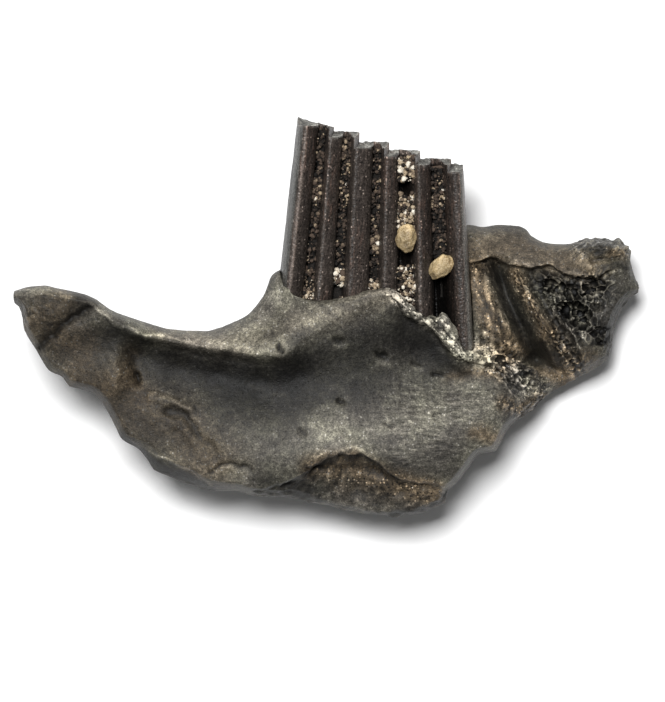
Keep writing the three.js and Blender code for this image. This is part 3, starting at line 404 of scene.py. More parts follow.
SHARP = Profile.SHARP
BODY_MARKS = [
    # The dark crease that parts the front facet from the facet behind it, and that facet's rear edge.
    Mark([(-13.4, -1.5), (-12.4, -0.55), (-10.95, 0.35)], 0.36, -0.3),
    Mark([(-13.3, -1.4), (-12.3, -0.5), (-11.0, 0.4)], 0.09, -0.16),
    Mark([(-12.9, -2.1), (-12.0, -1.4), (-10.4, -0.6)], 0.9, -0.15),
    Mark([(-9.9, -1.1), (-9.6, -2.4), (-9.7, -3.3)], 0.4, 0.25, SHARP),
    Mark([(-9.1, -1.6), (-8.95, -2.4), (-8.8, -3.0)], 0.3, -0.14),
    Mark([(-8.86, -2.7), (-8.72, -3.0)], 0.11, -0.3),
    # The curved scar on the lower slope.
    Mark([(-8.2, -3.6), (-7.2, -3.9), (-6.35, -4.22)], 0.2, 0.1),
    Mark([(-7.4, -4.35), (-6.6, -4.45), (-6.25, -4.9), (-5.95, -5.4)], 0.2, -0.15),
    Mark([(-5.6, -5.8), (-5.2, -6.3)], 0.3, -0.14),
    # The chip above the lower edge.
    Mark([(-5.35, -7.1), (-4.85, -6.75), (-4.2, -6.7), (-3.6, -7.05)], 0.12, -0.16),
    Mark([(-4.3, -7.3)], 0.6, -0.18),
    # The vessel holes ahead of the molar and in the inner wall.
    Mark([(-2.25, -1.36), (-2.15, -1.48)], 0.1, -0.6),
    Mark([(-6.9, -5.4), (-6.3, -6.1)], 0.3, -0.1),
    Mark([(0.35, -1.0), (0.55, -1.1)], 0.13, -0.2),
    Mark([(2.35, -1.72), (2.65, -1.76)], 0.13, -0.26),
    Mark([(0.52, -3.9), (0.68, -3.98)], 0.1, -0.24),
    Mark([(2.65, -4.9), (2.85, -4.94)], 0.1, -0.16),
    Mark([(4.9, -4.58), (5.2, -4.45)], 0.08, -0.14),
    Mark([(-1.25, -5.25), (-1.05, -5.35)], 0.09, -0.12),
    Mark([(4.85, -2.6), (5.15, -2.68)], 0.11, -0.14),
    Mark([(3.9, -2.1), (4.2, -2.25)], 0.09, -0.14),
    Mark([(-5.3, -3.3), (-4.9, -3.4)], 0.12, 0.04),
    Mark([(-3.5, -3.2), (-3.1, -3.3)], 0.12, 0.04),
    Mark([(-2.4, -3.6), (-2.1, -3.7)], 0.12, 0.04),
    # The crevice in the broken lower edge.
    Mark([(-0.9, -6.95), (0.3, -6.85), (1.4, -6.85), (2.6, -7.1)], 0.12, -0.35, SHARP),
    # The torn plate of bone beside the molar's root.
    Mark([(3.3, 1.0), (4.3, 0.0), (5.2, -0.9), (6.2, -1.75), (7.6, -1.85)], 0.3, 0.35, SHARP),
    Mark([(7.6, -2.1), (8.2, -2.9), (8.9, -3.3)], 0.25, 0.3),
    Mark([(8.0, -1.9), (8.7, -2.5), (9.4, -2.9)], 0.25, -0.4),
    Mark([(7.45, -2.44), (8.14, -3.08), (8.69, -3.73)], 0.06, 0.08),
]
LEDGE_FADE = 0.9  # how far down the wall the ledge under the crest reaches
break_y = Line(BREAK_LINE)
break_depth = Line([
    (-14.4, 0), (-9, 0.0), (-7, 0.15), (-5, 0.1), (-4, 0.1), (-2.4, 0.45), (-0.6, 0.85), (2, 0.9),
    (4, 0.6), (5.4, 0.3), (7, 0), (10, 0),
])  # fmt: skip
crest_y = Line(CREST_LINE)
ledge_depth = Line([
    (-14.4, 0), (-11.2, 0.1), (-9.5, 0.4), (-8, 0.55), (-4, 0.6), (-2.5, 0.4), (-1.5, 0.15), (0.5, 0.2),
    (2.5, 0.25), (3.4, 0.5), (5, 0.6), (6.2, 0.45), (7.5, 0.3), (9, 0.1), (10, 0),
])  # fmt: skip
ledge_width = Line([(-14.4, 0.5), (-10, 0.45), (-2.5, 0.5), (-1.9, 0.8), (2.2, 0.8), (3.2, 0.2), (10, 0.2)])
body_sheet = Sheet(BODY_FRONT_SPOTS)
body_marks = total_of(BODY_MARKS)


def jagged(x: np.ndarray, width: float, amount: float, seed: int) -> np.ndarray:
    """A ragged wander along x, for torn edges."""
    points = np.stack([np.ravel(x) / width, np.zeros(np.size(x)), np.zeros(np.size(x))], axis=1)
    return amount * rough(points, 3, seed).reshape(np.shape(x))


def wander(x: np.ndarray, y: np.ndarray) -> tuple[np.ndarray, np.ndarray]:
    """Shifts (x, y) a little to and fro, so that what follows a path isn't drawn with a steady hand."""
    flat = np.stack([np.ravel(x) * 2.4, np.ravel(y) * 2.4, np.zeros(np.size(x))], axis=1)
    return tuple(value + 0.1 * rough(flat, 2, 81 + k).reshape(np.shape(x)) for k, value in enumerate((x, y)))


def body_front(x: np.ndarray, y: np.ndarray) -> np.ndarray:
    """The height of the body's inner face."""
    edge = break_y(x) + jagged(x, width=0.3, amount=0.06, seed=3)
    broken = break_depth(x) * smooth((edge - y) / EDGE_WIDTH)
    below = crest_y(x) + jagged(x, width=0.5, amount=0.03, seed=5) - y
    step = ledge_depth(x) * smooth(below / ledge_width(x))
    ledge = np.where(below > 0, step * np.exp(-np.maximum(below, 0) / LEDGE_FADE), 0)
    return body_sheet(x, y) + body_marks(*wander(x, y)) - broken - ledge


# The outer side's V-shaped crest, where the chewing muscle held.
muscle_crest = total_of([
    Mark([(-1.2, -2.6), (1.5, -1.2), (4.5, 0.2), (7.5, 1.2)], 0.7, -0.45),
    Mark([(-1.2, -2.6), (1.5, -4.1), (4.2, -5.2), (6.5, -5.4)], 0.7, -0.45),
])
body_back_sheet = Sheet(BODY_BACK_SPOTS)
body_lower_x = Line([
    (-14.4, -14.4), (-12.3, -14.0), (-10.7, -13.4), (-8.7, -10.5), (-6, -7.2), (-2.8, -3.0), (0, 0),
    (9.95, 9.95),
])  # fmt: skip


def body_lobe() -> Lobe:
    """The body's form."""
    return Lobe(
        stations=np.arange(-14.4, 9.95 + BODY_STEP / 2, BODY_STEP),
        lower=BODY_LOWER,
        upper=BODY_UPPER,
        lower_round=Line([
            (-14.4, 0.3), (-9, 0.4), (-7.4, 0.75), (-5.5, 0.6), (-4.4, 0.4), (5, 0.35), (10, 0.35),
        ]),  # fmt: skip
        upper_round=Line([
            (-14.4, 0.4), (-11, 0.4), (-8, 0.8), (-4, 1.2), (-2.4, 0.9), (-1.5, 0.3), (10, 0.3),
        ]),  # fmt: skip
        front=body_front,
        back=lambda x, y: body_back_sheet(x, y) + muscle_crest(x, y),
        lines=lambda lobe: [
            (body_lower_x, lobe.lower_y),
            (body_lower_x, lambda x: break_y(x) - EDGE_WIDTH),
            (body_lower_x, break_y),
            (lambda s: lerp(s, body_lower_x(s), 0.08), lambda x: crest_y(x) - EDGE_WIDTH),
            (lambda s: lerp(s, body_lower_x(s), 0.05), crest_y),
            (lambda s: s, lobe.upper_y),
        ],
        front_rows=(14, 4, 82, 4, 24),
        back_rows=34,
    )


# The rear lobe: outer socket wall, empty rear sockets, spongy bone and the shelf above them

REAR_LOWER = [
    (-3.0, -0.2, 3.9), (-1.5, -1.2, 2.6), (1, -3, 2.2), (4, -4.2, 2.0), (7, -4.6, 2.0), (9.0, -4.3, 2.0),
    (10.0, -3.75, 2.0), (10.7, -3.3, 2.1), (11.7, -2.75, 2.3), (12.5, -2.3, 2.5), (13.0, -1.9, 2.6),
    (13.15, -1.4, 2.6), (13.25, -0.7, 2.6), (13.4, 0.0, 2.6), (13.7, 0.55, 2.7), (14.1, 0.95, 2.8),
    (14.4, 1.15, 2.9),
]  # fmt: skip
REAR_UPPER = [
    (-3.0, 0.9, 4.3), (-2.5, 2.0, 3.6), (-1.7, 2.5, 3.0), (-0.4, 2.9, 2.8), (1.5, 3.1, 2.7),
    (3.3, 3.4, 2.5), (5.2, 3.9, 2.3), (6.5, 4.3, 2.2), (7.2, 4.2, 2.2), (7.9, 4.3, 2.2), (8.8, 4.25, 2.2),
    (9.2, 4.1, 2.2), (9.45, 3.8, 2.2), (10.2, 3.45, 2.3), (10.9, 3.4, 2.4), (11.6, 3.5, 2.5),
    (12.0, 3.65, 2.7), (12.8, 3.65, 2.8), (13.2, 3.55, 2.8), (13.5, 3.7, 2.8), (13.7, 3.4, 2.8),
    (14.0, 3.15, 2.8), (14.05, 2.6, 2.8), (14.15, 1.95, 2.9), (14.4, 1.5, 2.9),
]  # fmt: skip
# The lip of the shelf, which hangs over the empty sockets.
SHELF_LINE = [
    (-3.0, 0.6), (-1.0, 1.6), (2, 2.2), (5, 2.5), (6.7, 2.55), (7.45, 2.8), (8.2, 2.55), (8.8, 2.4),
    (9.3, 2.3), (9.7, 2.45), (10.3, 2.4), (10.8, 2.05), (11.3, 1.85), (12.4, 1.85), (12.9, 2.2),
    (13.4, 2.35), (14.0, 2.2), (14.4, 1.4),
]  # fmt: skip
REAR_FRONT_SPOTS = [
    (-2.5, 1.0, 3.7), (-1, 1.8, 3.3), (1, 2.4, 3.3), (4, 2.8, 3.3), (1, -1, 3.0), (4, -1, 3.0),
    (6.5, 4.0, 3.3), (6.5, 2.8, 4.4), (7.9, 4.0, 3.3), (7.9, 3.1, 4.1), (9.2, 3.8, 3.2), (9.3, 2.6, 4.5),
    (10.7, 3.2, 3.4), (10.7, 2.3, 4.4), (12.5, 3.4, 4.0), (12.5, 2.5, 4.6), (13.6, 3.1, 4.0),
    (13.6, 2.2, 4.3), (14.1, 1.6, 3.8), (6.8, 2.0, 4.9), (6.8, 0.8, 5.0), (7.0, -0.6, 5.0),
    (7.9, -1.3, 4.9), (8.6, -1.5, 4.4), (8.5, 1.9, 4.8), (9.3, 0.8, 4.8), (10.1, -0.4, 4.6),
    (10.8, -1.5, 4.3), (11.2, -2.3, 3.8), (10.7, 1.2, 4.7), (12.0, 1.2, 4.6), (11.6, 0.3, 4.5),
    (12.7, 0.3, 4.5), (12.5, -1.1, 4.4), (12.0, -2.1, 3.9), (12.9, -1.5, 4.0), (10.4, -2.7, 2.9),
    (10.1, -3.1, 2.8), (10.9, -2.9, 2.7), (8.0, -3.0, 3.0), (9.2, -3.2, 2.9),
]  # fmt: skip
REAR_BACK_SPOTS = [
    (-2.2, 1.2, 2.7), (-1.3, 2.2, 2.2), (1.0, 2.5, 1.6), (3.3, 2.6, 1.1), (5.6, 3.3, 0.9), (8, 3.5, 0.8),
    (10.2, 3.0, 0.9), (12.5, 3.1, 1.2), (13.9, 2.6, 1.8), (1, -0.6, 0.5), (3.3, -0.6, 0.0),
    (5.6, -0.6, -0.1), (8, -0.1, 0.0), (10.2, -0.1, 0.3), (12.5, -0.1, 0.9), (12.5, -1.5, 1.3),
    (10.2, -2.9, 0.9), (8, -2.9, 0.4),
]  # fmt: skip
REAR_MARKS = [
    # The second molar's socket, a broad slanting trough, and the ridge between its two root beds.
    Mark([(7.9, 2.3), (8.25, 1.0), (8.95, -0.5), (9.7, -1.9)], 0.42, -1.5),
    Mark([(9.4, -1.9), (10.2, -2.2), (10.9, -2.5)], 0.35, -0.8),
    Mark([(8.6, 2.2), (9.3, 0.8), (10.3, -0.9), (11.1, -2.2)], 0.4, 0.4, SHARP),
    # The socket's second trough, and the thin wall behind it.
    Mark([(9.3, 2.0), (10.0, 0.6), (10.9, -0.9), (11.4, -1.9)], 0.22, -0.4),
    Mark([(9.9, 2.0), (10.5, 0.6), (11.4, -1.0), (11.9, -2.1)], 0.2, 0.3, SHARP),
    # The largest cells of the spongy bone.
    Mark([(10.35, 1.5), (10.75, 1.25)], 0.24, -1.0),
    Mark([(11.25, 1.2)], 0.22, -0.8),
    Mark([(12.2, 1.25)], 0.26, -0.9),
    Mark([(11.6, 0.25), (11.75, -0.1)], 0.3, -1.2),
    Mark([(11.05, 0.35)], 0.22, -0.8),
    Mark([(12.4, 0.5)], 0.2, -0.5),
    Mark([(12.45, -0.62), (13.0, -0.52)], 0.12, -0.4),
    Mark([(12.45, -1.2), (13.0, -1.1)], 0.12, -0.4),
    # The lumps on the shelf's rear corner.
    Mark([(11.7, 3.0), (12.4, 3.25), (13.3, 3.2)], 0.3, 0.4),
    Mark([(12.2, 2.6), (13.4, 2.75)], 0.12, -0.3),
    Mark([(11.5, 2.55), (12.0, 2.4)], 0.25, 0.25),
]
lip_depth = Line([
    (-3, 0), (6.4, 0.1), (7.2, 0.9), (8.6, 0.8), (9.6, 0.9), (11.5, 0.9), (12.4, 0.7), (13.2, 0.25),
    (14.4, 0),
])  # fmt: skip
LIP_FADE = 0.7  # how far down the hollow under the shelf's lip reaches
shelf_y = Line(SHELF_LINE)
rear_sheet = Sheet(REAR_FRONT_SPOTS)
rear_back_sheet = Sheet(REAR_BACK_SPOTS)
rear_marks = total_of(REAR_MARKS)
rear_lower_x = Line([
    (-3, -3), (5, 5.6), (6.5, 8.9), (7.45, 10.6), (8.6, 11.5), (9.3, 12.2), (10.4, 12.8), (12, 13.15),
    (13.2, 13.45), (14.4, 14.4),
])  # fmt: skip


def rear_front(x: np.ndarray, y: np.ndarray) -> np.ndarray:
    """The height of the rear lobe's inner face."""
    below = shelf_y(x) + jagged(x, width=0.35, amount=0.07, seed=9) - y
    step = lip_depth(x) * smooth(below / EDGE_WIDTH)
    drop = np.where(below > 0, step * np.exp(-np.maximum(below, 0) / LIP_FADE), 0)
    return rear_sheet(x, y) + rear_marks(x, y) - drop


def rear_lobe() -> Lobe:
    """The rear lobe's form."""
    return Lobe(
        stations=np.concatenate([
            np.arange(-3, 6.0, HIDDEN_STEP), np.arange(6.0, 14.4 + REAR_STEP / 2, REAR_STEP),
        ]),  # fmt: skip
        lower=REAR_LOWER,
        upper=REAR_UPPER,
        lower_round=Line([(-3, 0.5), (10, 0.5), (14.4, 0.3)]),
        upper_round=Line([(-3, 0.5), (6, 0.5), (11, 0.4), (14.4, 0.3)]),
        front=rear_front,
        back=lambda x, y: rear_back_sheet(x, y) + muscle_crest(x, y),
        lines=lambda lobe: [
            (rear_lower_x, lobe.lower_y),
            (lambda s: lerp(s, rear_lower_x(s), 0.05), lambda x: shelf_y(x) - EDGE_WIDTH),
            (lambda s: lerp(s, rear_lower_x(s), 0.03), shelf_y),
            (lambda s: s, lobe.upper_y),
        ],
        front_rows=(96, 4, 26),
        back_rows=30,
    )


# Meshes


def make_object(name: str, bm: bmesh.types.BMesh) -> bpy.types.Object:
    """Turns a bmesh into an object of the scene, with smooth faces.

    Args:
        name: the piece's name.
        bm: the bmesh, which is freed.

    Returns:
        The new object.
    """
    mesh = bpy.data.meshes.new(name)
    bm.to_mesh(mesh)
    bm.free()
    mesh.shade_smooth()
    made = bpy.data.objects.new(name, mesh)
    bpy.context.scene.collection.objects.link(made)
    return made


def tube(name: str, rings: np.ndarray) -> bpy.types.Object:
    """A closed skin through rings of points, made from a grid whose two long sides are welded.

    Args:
        name: the piece's name.
        rings: rings[i, j] is point j of ring i.

    Returns:
        The object, in the units of the points.
    """
    count, around = rings.shape[:2]
    bm = bmesh.new()
    bmesh.ops.create_grid(bm, x_segments=count - 1, y_segments=around, size=1)
    seam = []
    for vertex in bm.verts:
        i = round((vertex.co.x + 1) / 2 * (count - 1))
        j = round((vertex.co.y + 1) / 2 * around)
        vertex.co = rings[i, j % around]
        if j in (0, around):
            seam.append(vertex)
    bmesh.ops.remove_doubles(bm, verts=seam, dist=1e-6)
    open_edges = [edge for edge in bm.edges if edge.is_boundary]
    filled = bmesh.ops.holes_fill(bm, edges=open_edges, sides=0)["faces"]
    bmesh.ops.triangulate(bm, faces=filled)
    bmesh.ops.recalc_face_normals(bm, faces=bm.faces)
    return make_object(name, bm)


def combine(piece: bpy.types.Object, other: bpy.types.Object, operation: str) -> None:
    """Joins another solid to a piece, or cuts it out, and removes the other.

    Args:
        piece: the piece that is changed.
        other: the solid that is used up.
        operation: UNION or DIFFERENCE.
    """
    modifier = piece.modifiers.new("combine", "BOOLEAN")
    modifier.object = other
    modifier.operation = operation
    modifier.solver = "MANIFOLD"
    graph = bpy.context.evaluated_depsgraph_get()
    mesh = bpy.data.meshes.new_from_object(piece.evaluated_get(graph))
    piece.modifiers.clear()
    old, piece.data = piece.data, mesh
    mesh.name = piece.name
    bpy.data.meshes.remove(old)
    used = other.data
    bpy.data.objects.remove(other)
    bpy.data.meshes.remove(used)


def corners_of(piece: bpy.types.Object) -> tuple[np.ndarray, np.ndarray]:
    """The places and normals of a piece's vertices, each as an n by 3 array."""
    count = len(piece.data.vertices)
    places = np.empty(count * 3, np.float32)
    normals = np.empty(count * 3, np.float32)
    piece.data.vertices.foreach_get("co", places)
    piece.data.vertices.foreach_get("normal", normals)
    return places.reshape(-1, 3).astype(float), normals.reshape(-1, 3).astype(float)


def move_corners(piece: bpy.types.Object, places: np.ndarray) -> None:
    """Puts a piece's vertices at new places."""
    piece.data.vertices.foreach_set("co", places.astype(np.float32).ravel())
    piece.data.update()


def paint(piece: bpy.types.Object, name: str, values: np.ndarray) -> None:
    """Stores one number a vertex, which the piece's material reads by name."""
    layer = piece.data.attributes.get(name) or piece.data.attributes.new(name, "FLOAT", "POINT")
    layer.data.foreach_set("value", values.astype(np.float32))


def relative_height(
    piece: bpy.types.Object, places: np.ndarray, normals: np.ndarray, rounds: int
) -> np.ndarray:
    """How far each vertex stands proud of its neighbourhood, negative in hollows.

    Args:
        piece: the piece, for its edges.
        places: its vertices.
        normals: their normals.
        rounds: how far the neighbourhood reaches, in edges.

    Returns:
        The height in the piece's units.
    """
    edges = np.empty(len(piece.data.edges) * 2, np.int32)
    piece.data.edges.foreach_get("vertices", edges)
    a, b = edges.reshape(-1, 2).T
    count = len(places)
    degree = np.maximum(np.bincount(a, minlength=count) + np.bincount(b, minlength=count), 1)
    mean = places.copy()
    for _ in range(rounds):
        gathered = np.stack([
            np.bincount(a, mean[b, k], count) + np.bincount(b, mean[a, k], count) for k in range(3)
        ], axis=1)  # fmt: skip
        mean = (mean + gathered / degree[:, None]) / 2
    return ((places - mean) * normals).sum(1)


def complete(piece: bpy.types.Object, material: bpy.types.Material) -> None:
    """Makes a piece's mesh metres, smooth and of one material."""
    piece.data.transform(Matrix.Scale(MM, 4))
    piece.data.shade_smooth()
    piece.data.materials.clear()
    piece.data.materials.append(material)


# The molar's own measures

TOOTH_X = 2.55  # the middle of the molar, along the jaw
TOOTH_TOP_Y = 9.2  # the highest corner of the chewing face
CROWN_HEIGHT = 7.9  # chewing face to socket rim
TOOTH_ROOT_Y = -1.5  # the buried end of the molar
TOOTH_TOP_Z = 6.3  # the molar's mid-plane at the chewing face
CROWN_LEAN = 1.4  # how far the mid-plane drops from the chewing face to the rim
CROWN_FLARE = 0.186  # how much longer the molar is at the rim than at the chewing face
CROWN_SCALE = 0.98  # its length at the chewing face, against its cross-section
CROWN_DRIFT = 0.17  # how far it leans to the front from the chewing face to the rim
CROWN_SWELL = 0.08  # how much thicker it is at the rim than at the chewing face
CROWN_OVER = 10.2  # where the column ends before it is worn down
CUTTER_TOP = 12.0  # the top of what is worn off
WEAR_RISE = 0.34  # rise of the chewing face towards the cheek side
STEP_SKEW = 0.2  # how far the steps of the chewing face run aslant
SOCKET_GAP = 0.03  # between the molar and its socket


def molar_places(along: np.ndarray, across: np.ndarray, y: np.ndarray) -> np.ndarray:
    """Places on the molar.

    Args:
        along: place in its cross-section, from front to rear.
        across: place in its cross-section, from the cheek to the tongue side.
        y: height on the crown.

    Returns:
        The places, with x, y and z in the last axis.
    """
    down = (TOOTH_TOP_Y - y) / CROWN_HEIGHT
    return np.stack([
        TOOTH_X - CROWN_DRIFT * down + along * (CROWN_SCALE + CROWN_FLARE * down),
        y + 0 * along,
        TOOTH_TOP_Z - CROWN_LEAN * down + across * (1 + CROWN_SWELL * down),
    ], axis=-1)  # fmt: skip


@dataclass(frozen=True)
class Prism:
    """One prism of the molar: its ends and top on the tongue side, and its fall to the rear on the other."""

    start: float
    end: float
    top: float
    fall: float

    def wear(self, along: np.ndarray, across: np.ndarray) -> np.ndarray:
        """The height of the chewing face."""
        middle = (self.start + self.end) / 2
        return self.top + (WEAR_RISE - self.fall * (along - middle)) * smooth((1.2 - across) / 1.4)


PRISMS = [
    Prism(-4.6, -2.52, 8.74, 0.27), Prism(-2.52, -1.34, 8.22, 0.05), Prism(-1.34, 0.04, 7.74, 0.03),
    Prism(0.04, 1.44, 7.36, 0.03), Prism(1.44, 2.84, 6.97, 0.03), Prism(2.84, 4.6, 6.64, 0.2),
]  # fmt: skip


@dataclass(frozen=True)
class Fold:
    """One fold of the enamel, by the corners of its walls in the molar's cross-section."""

    face: tuple[float, float]
    bottom: tuple[float, float, float]
    wall: tuple[float, float]
    mouth: tuple[float, float]
    crest: tuple[float, float]

    def corners(self) -> list[tuple[float, float]]:
        """The fold's corners in order."""
        left, right, depth = self.bottom
        return [self.face, (left, depth), (right, depth), self.wall, self.mouth, self.crest]


INNER_FOLDS = [
    Fold((-2.97, 0.9), (-3.0, -2.82, -0.3), (-2.64, 0.4), (-2.53, 1.1), (-2.4, 1.45)),
    Fold((-1.8, 0.85), (-1.86, -1.7, -0.35), (-1.47, 0.4), (-1.36, 1.1), (-1.2, 1.45)),
    Fold((-0.38, 0.85), (-0.46, -0.3, -0.35), (-0.1, 0.4), (0.01, 1.1), (0.18, 1.45)),
    Fold((0.76, 0.85), (0.72, 0.9, -0.35), (1.28, 0.4), (1.43, 1.1), (1.6, 1.45)),
    Fold((2.18, 0.85), (2.12, 2.3, -0.35), (2.66, 0.4), (2.8, 1.0), (3.02, 1.3)),
]
OUTER_FOLDS = [
    Fold((3.3, -0.6), (3.2, 3.03, 0.1), (2.4, -0.75), (2.2, -1.23), (2.0, -1.35)),
    Fold((1.95, -0.7), (1.9, 1.73, 0.15), (1.26, -0.75), (1.0, -1.23), (0.8, -1.35)),
    Fold((0.63, -0.7), (0.5, 0.33, 0.15), (-0.15, -0.75), (-0.41, -1.23), (-0.61, -1.35)),
    Fold((-0.76, -0.7), (-0.85, -1.02, 0.15), (-1.4, -0.75), (-1.57, -1.23), (-1.77, -1.35)),
    Fold((-1.92, -0.7), (-2.11, -2.28, 0.1), (-2.63, -0.7), (-2.95, -1.18), (-3.15, -1.3)),
]
MOLAR_SECTION = [
    (-4.03, -0.1), (-3.96, 0.7), (-3.8, 1.2), (-3.59, 1.4), (-3.45, 1.32),
    *[corner for fold in INNER_FOLDS for corner in fold.corners()],
    (3.2, 1.36), (3.4, 1.3), (3.54, 1.0), (3.61, 0.0), (3.54, -0.9), (3.31, -1.3),
    *[corner for fold in OUTER_FOLDS for corner in fold.corners()],
    (-3.8, -1.1), (-4.0, -0.6),
]  # fmt: skip
SOCKET_SECTION = [
    (-4.03, 0.2), (-3.9, 1.0), (-3.5, 1.45), (0, 1.5), (3.2, 1.4), (3.55, 1.0), (3.62, 0), (3.55, -1.0),
    (3.3, -1.35), (0, -1.4), (-3.5, -1.35), (-3.9, -0.9),
]  # fmt: skip


def rounded(outline: Path, spacing: float, cuts: int = 2) -> np.ndarray:
    """A closed outline with its corners cut round, as evenly spaced points.

    Args:
        outline: the corners, once round.
        spacing: distance between two points.
        cuts: how often each corner is cut.

    Returns:
        The points, as an n by 2 array.
    """
    points = np.array(outline, float)
    for _ in range(cuts):
        after = np.roll(points, -1, axis=0)
        points = np.stack([lerp(points, after, 0.25), lerp(points, after, 0.75)], axis=1).reshape(-1, 2)
    closed = np.concatenate([points, points[:1]])
    reach = np.concatenate([[0], np.cumsum(np.hypot(*np.diff(closed, axis=0).T))])
    at = np.linspace(0, reach[-1], int(reach[-1] / spacing), endpoint=False)
    return np.stack([np.interp(at, reach, closed[:, k]) for k in range(2)], axis=1)


def column(name: str, section: np.ndarray, heights: np.ndarray) -> bpy.types.Object:
    """A column that follows the molar, with one cross-section all the way.

    Args:
        name: the piece's name.
        section: the cross-section's points, as an n by 2 array.
        heights: the heights of its rings.

    Returns:
        The object, in millimetres.
    """
    rings = molar_places(section[None, :, 0], section[None, :, 1], heights[:, None])
    return tube(name, rings)


# Finishes


@dataclass(frozen=True)
class Tint:
    """A colour as a screen shows it, from 0 to 255."""

    red: float
    green: float
    blue: float

    def linear(self) -> tuple[float, float, float, float]:
        """The colour as light."""
        values = [v / 255 for v in (self.red, self.green, self.blue)]
        return (*[v / 12.92 if v <= 0.04045 else ((v + 0.055) / 1.055) ** 2.4 for v in values], 1.0)


class Nodes:
    """A short way of writing a tree of shader nodes."""

    def __init__(self, tree: bpy.types.NodeTree) -> None:
        """Keeps the tree that nodes are added to."""
        self.tree = tree

    def add(self, kind: str, **settings: object) -> bpy.types.Node:
        """Adds a node of a kind, with its settings."""
        node = self.tree.nodes.new(kind)
        for name, value in settings.items():
            setattr(node, name, value)
        return node

    def link(self, source: bpy.types.NodeSocket, target: bpy.types.NodeSocket) -> None:
        """Joins two sockets."""
        self.tree.links.new(source, target)

    def feed(self, target: bpy.types.NodeSocket, value: object) -> None:
        """Gives a socket a number, a colour or another socket's value."""
        if isinstance(value, bpy.types.NodeSocket):
            self.link(value, target)
        elif isinstance(value, Tint):
            target.default_value = value.linear()
        else:
            target.default_value = value

    def maths(self, operation: str, a: object, b: object = 0.0, c: object = 0.0) -> bpy.types.NodeSocket:
        """A Math node's result."""
        node = self.add("ShaderNodeMath", operation=operation)
        for socket, value in zip(node.inputs, (a, b, c)):
            self.feed(socket, value)
        return node.outputs[0]

    def ramp(self, value: object, low: float, high: float) -> bpy.types.NodeSocket:
        """Turns a value between low and high into one between 0 and 1, with soft ends."""
        node = self.add("ShaderNodeMapRange", interpolation_type="SMOOTHSTEP")
        for socket, given in zip(node.inputs, (value, low, high, 0.0, 1.0)):
            self.feed(socket, given)
        return node.outputs[0]

    def mix(self, share: object, a: object, b: object, blend: str = "MIX") -> bpy.types.NodeSocket:
        """A mix of two colours."""
        node = self.add("ShaderNodeMix", data_type="RGBA", blend_type=blend)
        self.feed(node.inputs[0], share)
        self.feed(node.inputs[6], a)
        self.feed(node.inputs[7], b)
        return node.outputs[2]

    def noise(
        self, place: object, scale: float, detail: float = 2.0, roughness: float = 0.5
    ) -> bpy.types.NodeSocket:
        """A Noise Texture's value."""
        node = self.add("ShaderNodeTexNoise")
        self.feed(node.inputs["Vector"], place)
        self.feed(node.inputs["Scale"], scale)
        self.feed(node.inputs["Detail"], detail)
        self.feed(node.inputs["Roughness"], roughness)
        return node.outputs["Fac"]

    def painted(self, name: str) -> bpy.types.NodeSocket:
        """The number that a piece carries under a name."""
        return self.add("ShaderNodeAttribute", attribute_name=name).outputs["Fac"]

    def place(self, stretch: tuple[float, float, float] = (1.0, 1.0, 1.0)) -> bpy.types.NodeSocket:
        """The place on the object, in millimetres, stretched along its axes."""
        coordinates = self.add("ShaderNodeTexCoord")
        mapping = self.add("ShaderNodeMapping")
        mapping.inputs["Scale"].default_value = [s / MM for s in stretch]
        self.link(coordinates.outputs["Object"], mapping.inputs["Vector"])
        return mapping.outputs["Vector"]


class Group(Enum):
    """The effects that several finishes share."""

    SPECKLE = "speckle"
    MOTTLE = "mottle"
    TONE = "tone"


def new_group(
    name: str, inputs: dict[str, object], outputs: Sequence[str]
) -> tuple[bpy.types.NodeTree, Nodes]:
    """Starts a shader node group.

    Args:
        name: the group's name.
        inputs: the named inputs with their default values, a Tint for a colour and None for a place.
        outputs: the named outputs, a colour where the name ends with Colour.

    Returns:
        The group, and a writer for its nodes.
    """
    tree = bpy.data.node_groups.new(name, "ShaderNodeTree")
    for label, value in inputs.items():
        kind = "NodeSocketFloat"
        if value is None:
            kind = "NodeSocketVector"
        if isinstance(value, Tint):
            kind = "NodeSocketColor"
        socket = tree.interface.new_socket(name=label, in_out="INPUT", socket_type=kind)
        if isinstance(value, Tint):
            socket.default_value = value.linear()
        elif value is not None:
            socket.default_value = value
    for label in outputs:
        kind = "NodeSocketColor" if label.endswith("Colour") else "NodeSocketFloat"
        tree.interface.new_socket(name=label, in_out="OUTPUT", socket_type=kind)
    return tree, Nodes(tree)


def speckle_group() -> bpy.types.NodeTree:
    """Small light grains and small dark pores scattered over a surface."""
    tree, n = new_group("speckle", {"Place": None, "Scale": 9.0, "Share": 0.5}, ["Grains", "Pores"])
    source = n.add("NodeGroupInput")
    sink = n.add("NodeGroupOutput")
    scatter = n.add("ShaderNodeTexVoronoi", feature="F1")
    n.link(source.outputs["Place"], scatter.inputs["Vector"])
    n.link(source.outputs["Scale"], scatter.inputs["Scale"])
    own = n.add("ShaderNodeSeparateColor")
    n.link(scatter.outputs["Color"], own.inputs[0])
    near = n.ramp(scatter.outputs["Distance"], 0.45, 0.15)
    chosen = n.maths("GREATER_THAN", source.outputs["Share"], own.outputs[0])
    other = n.maths("GREATER_THAN", source.outputs["Share"], own.outputs[1])
    n.link(n.maths("MULTIPLY", near, chosen), sink.inputs["Grains"])
    n.link(n.maths("MULTIPLY", near, other), sink.inputs["Pores"])
    return tree


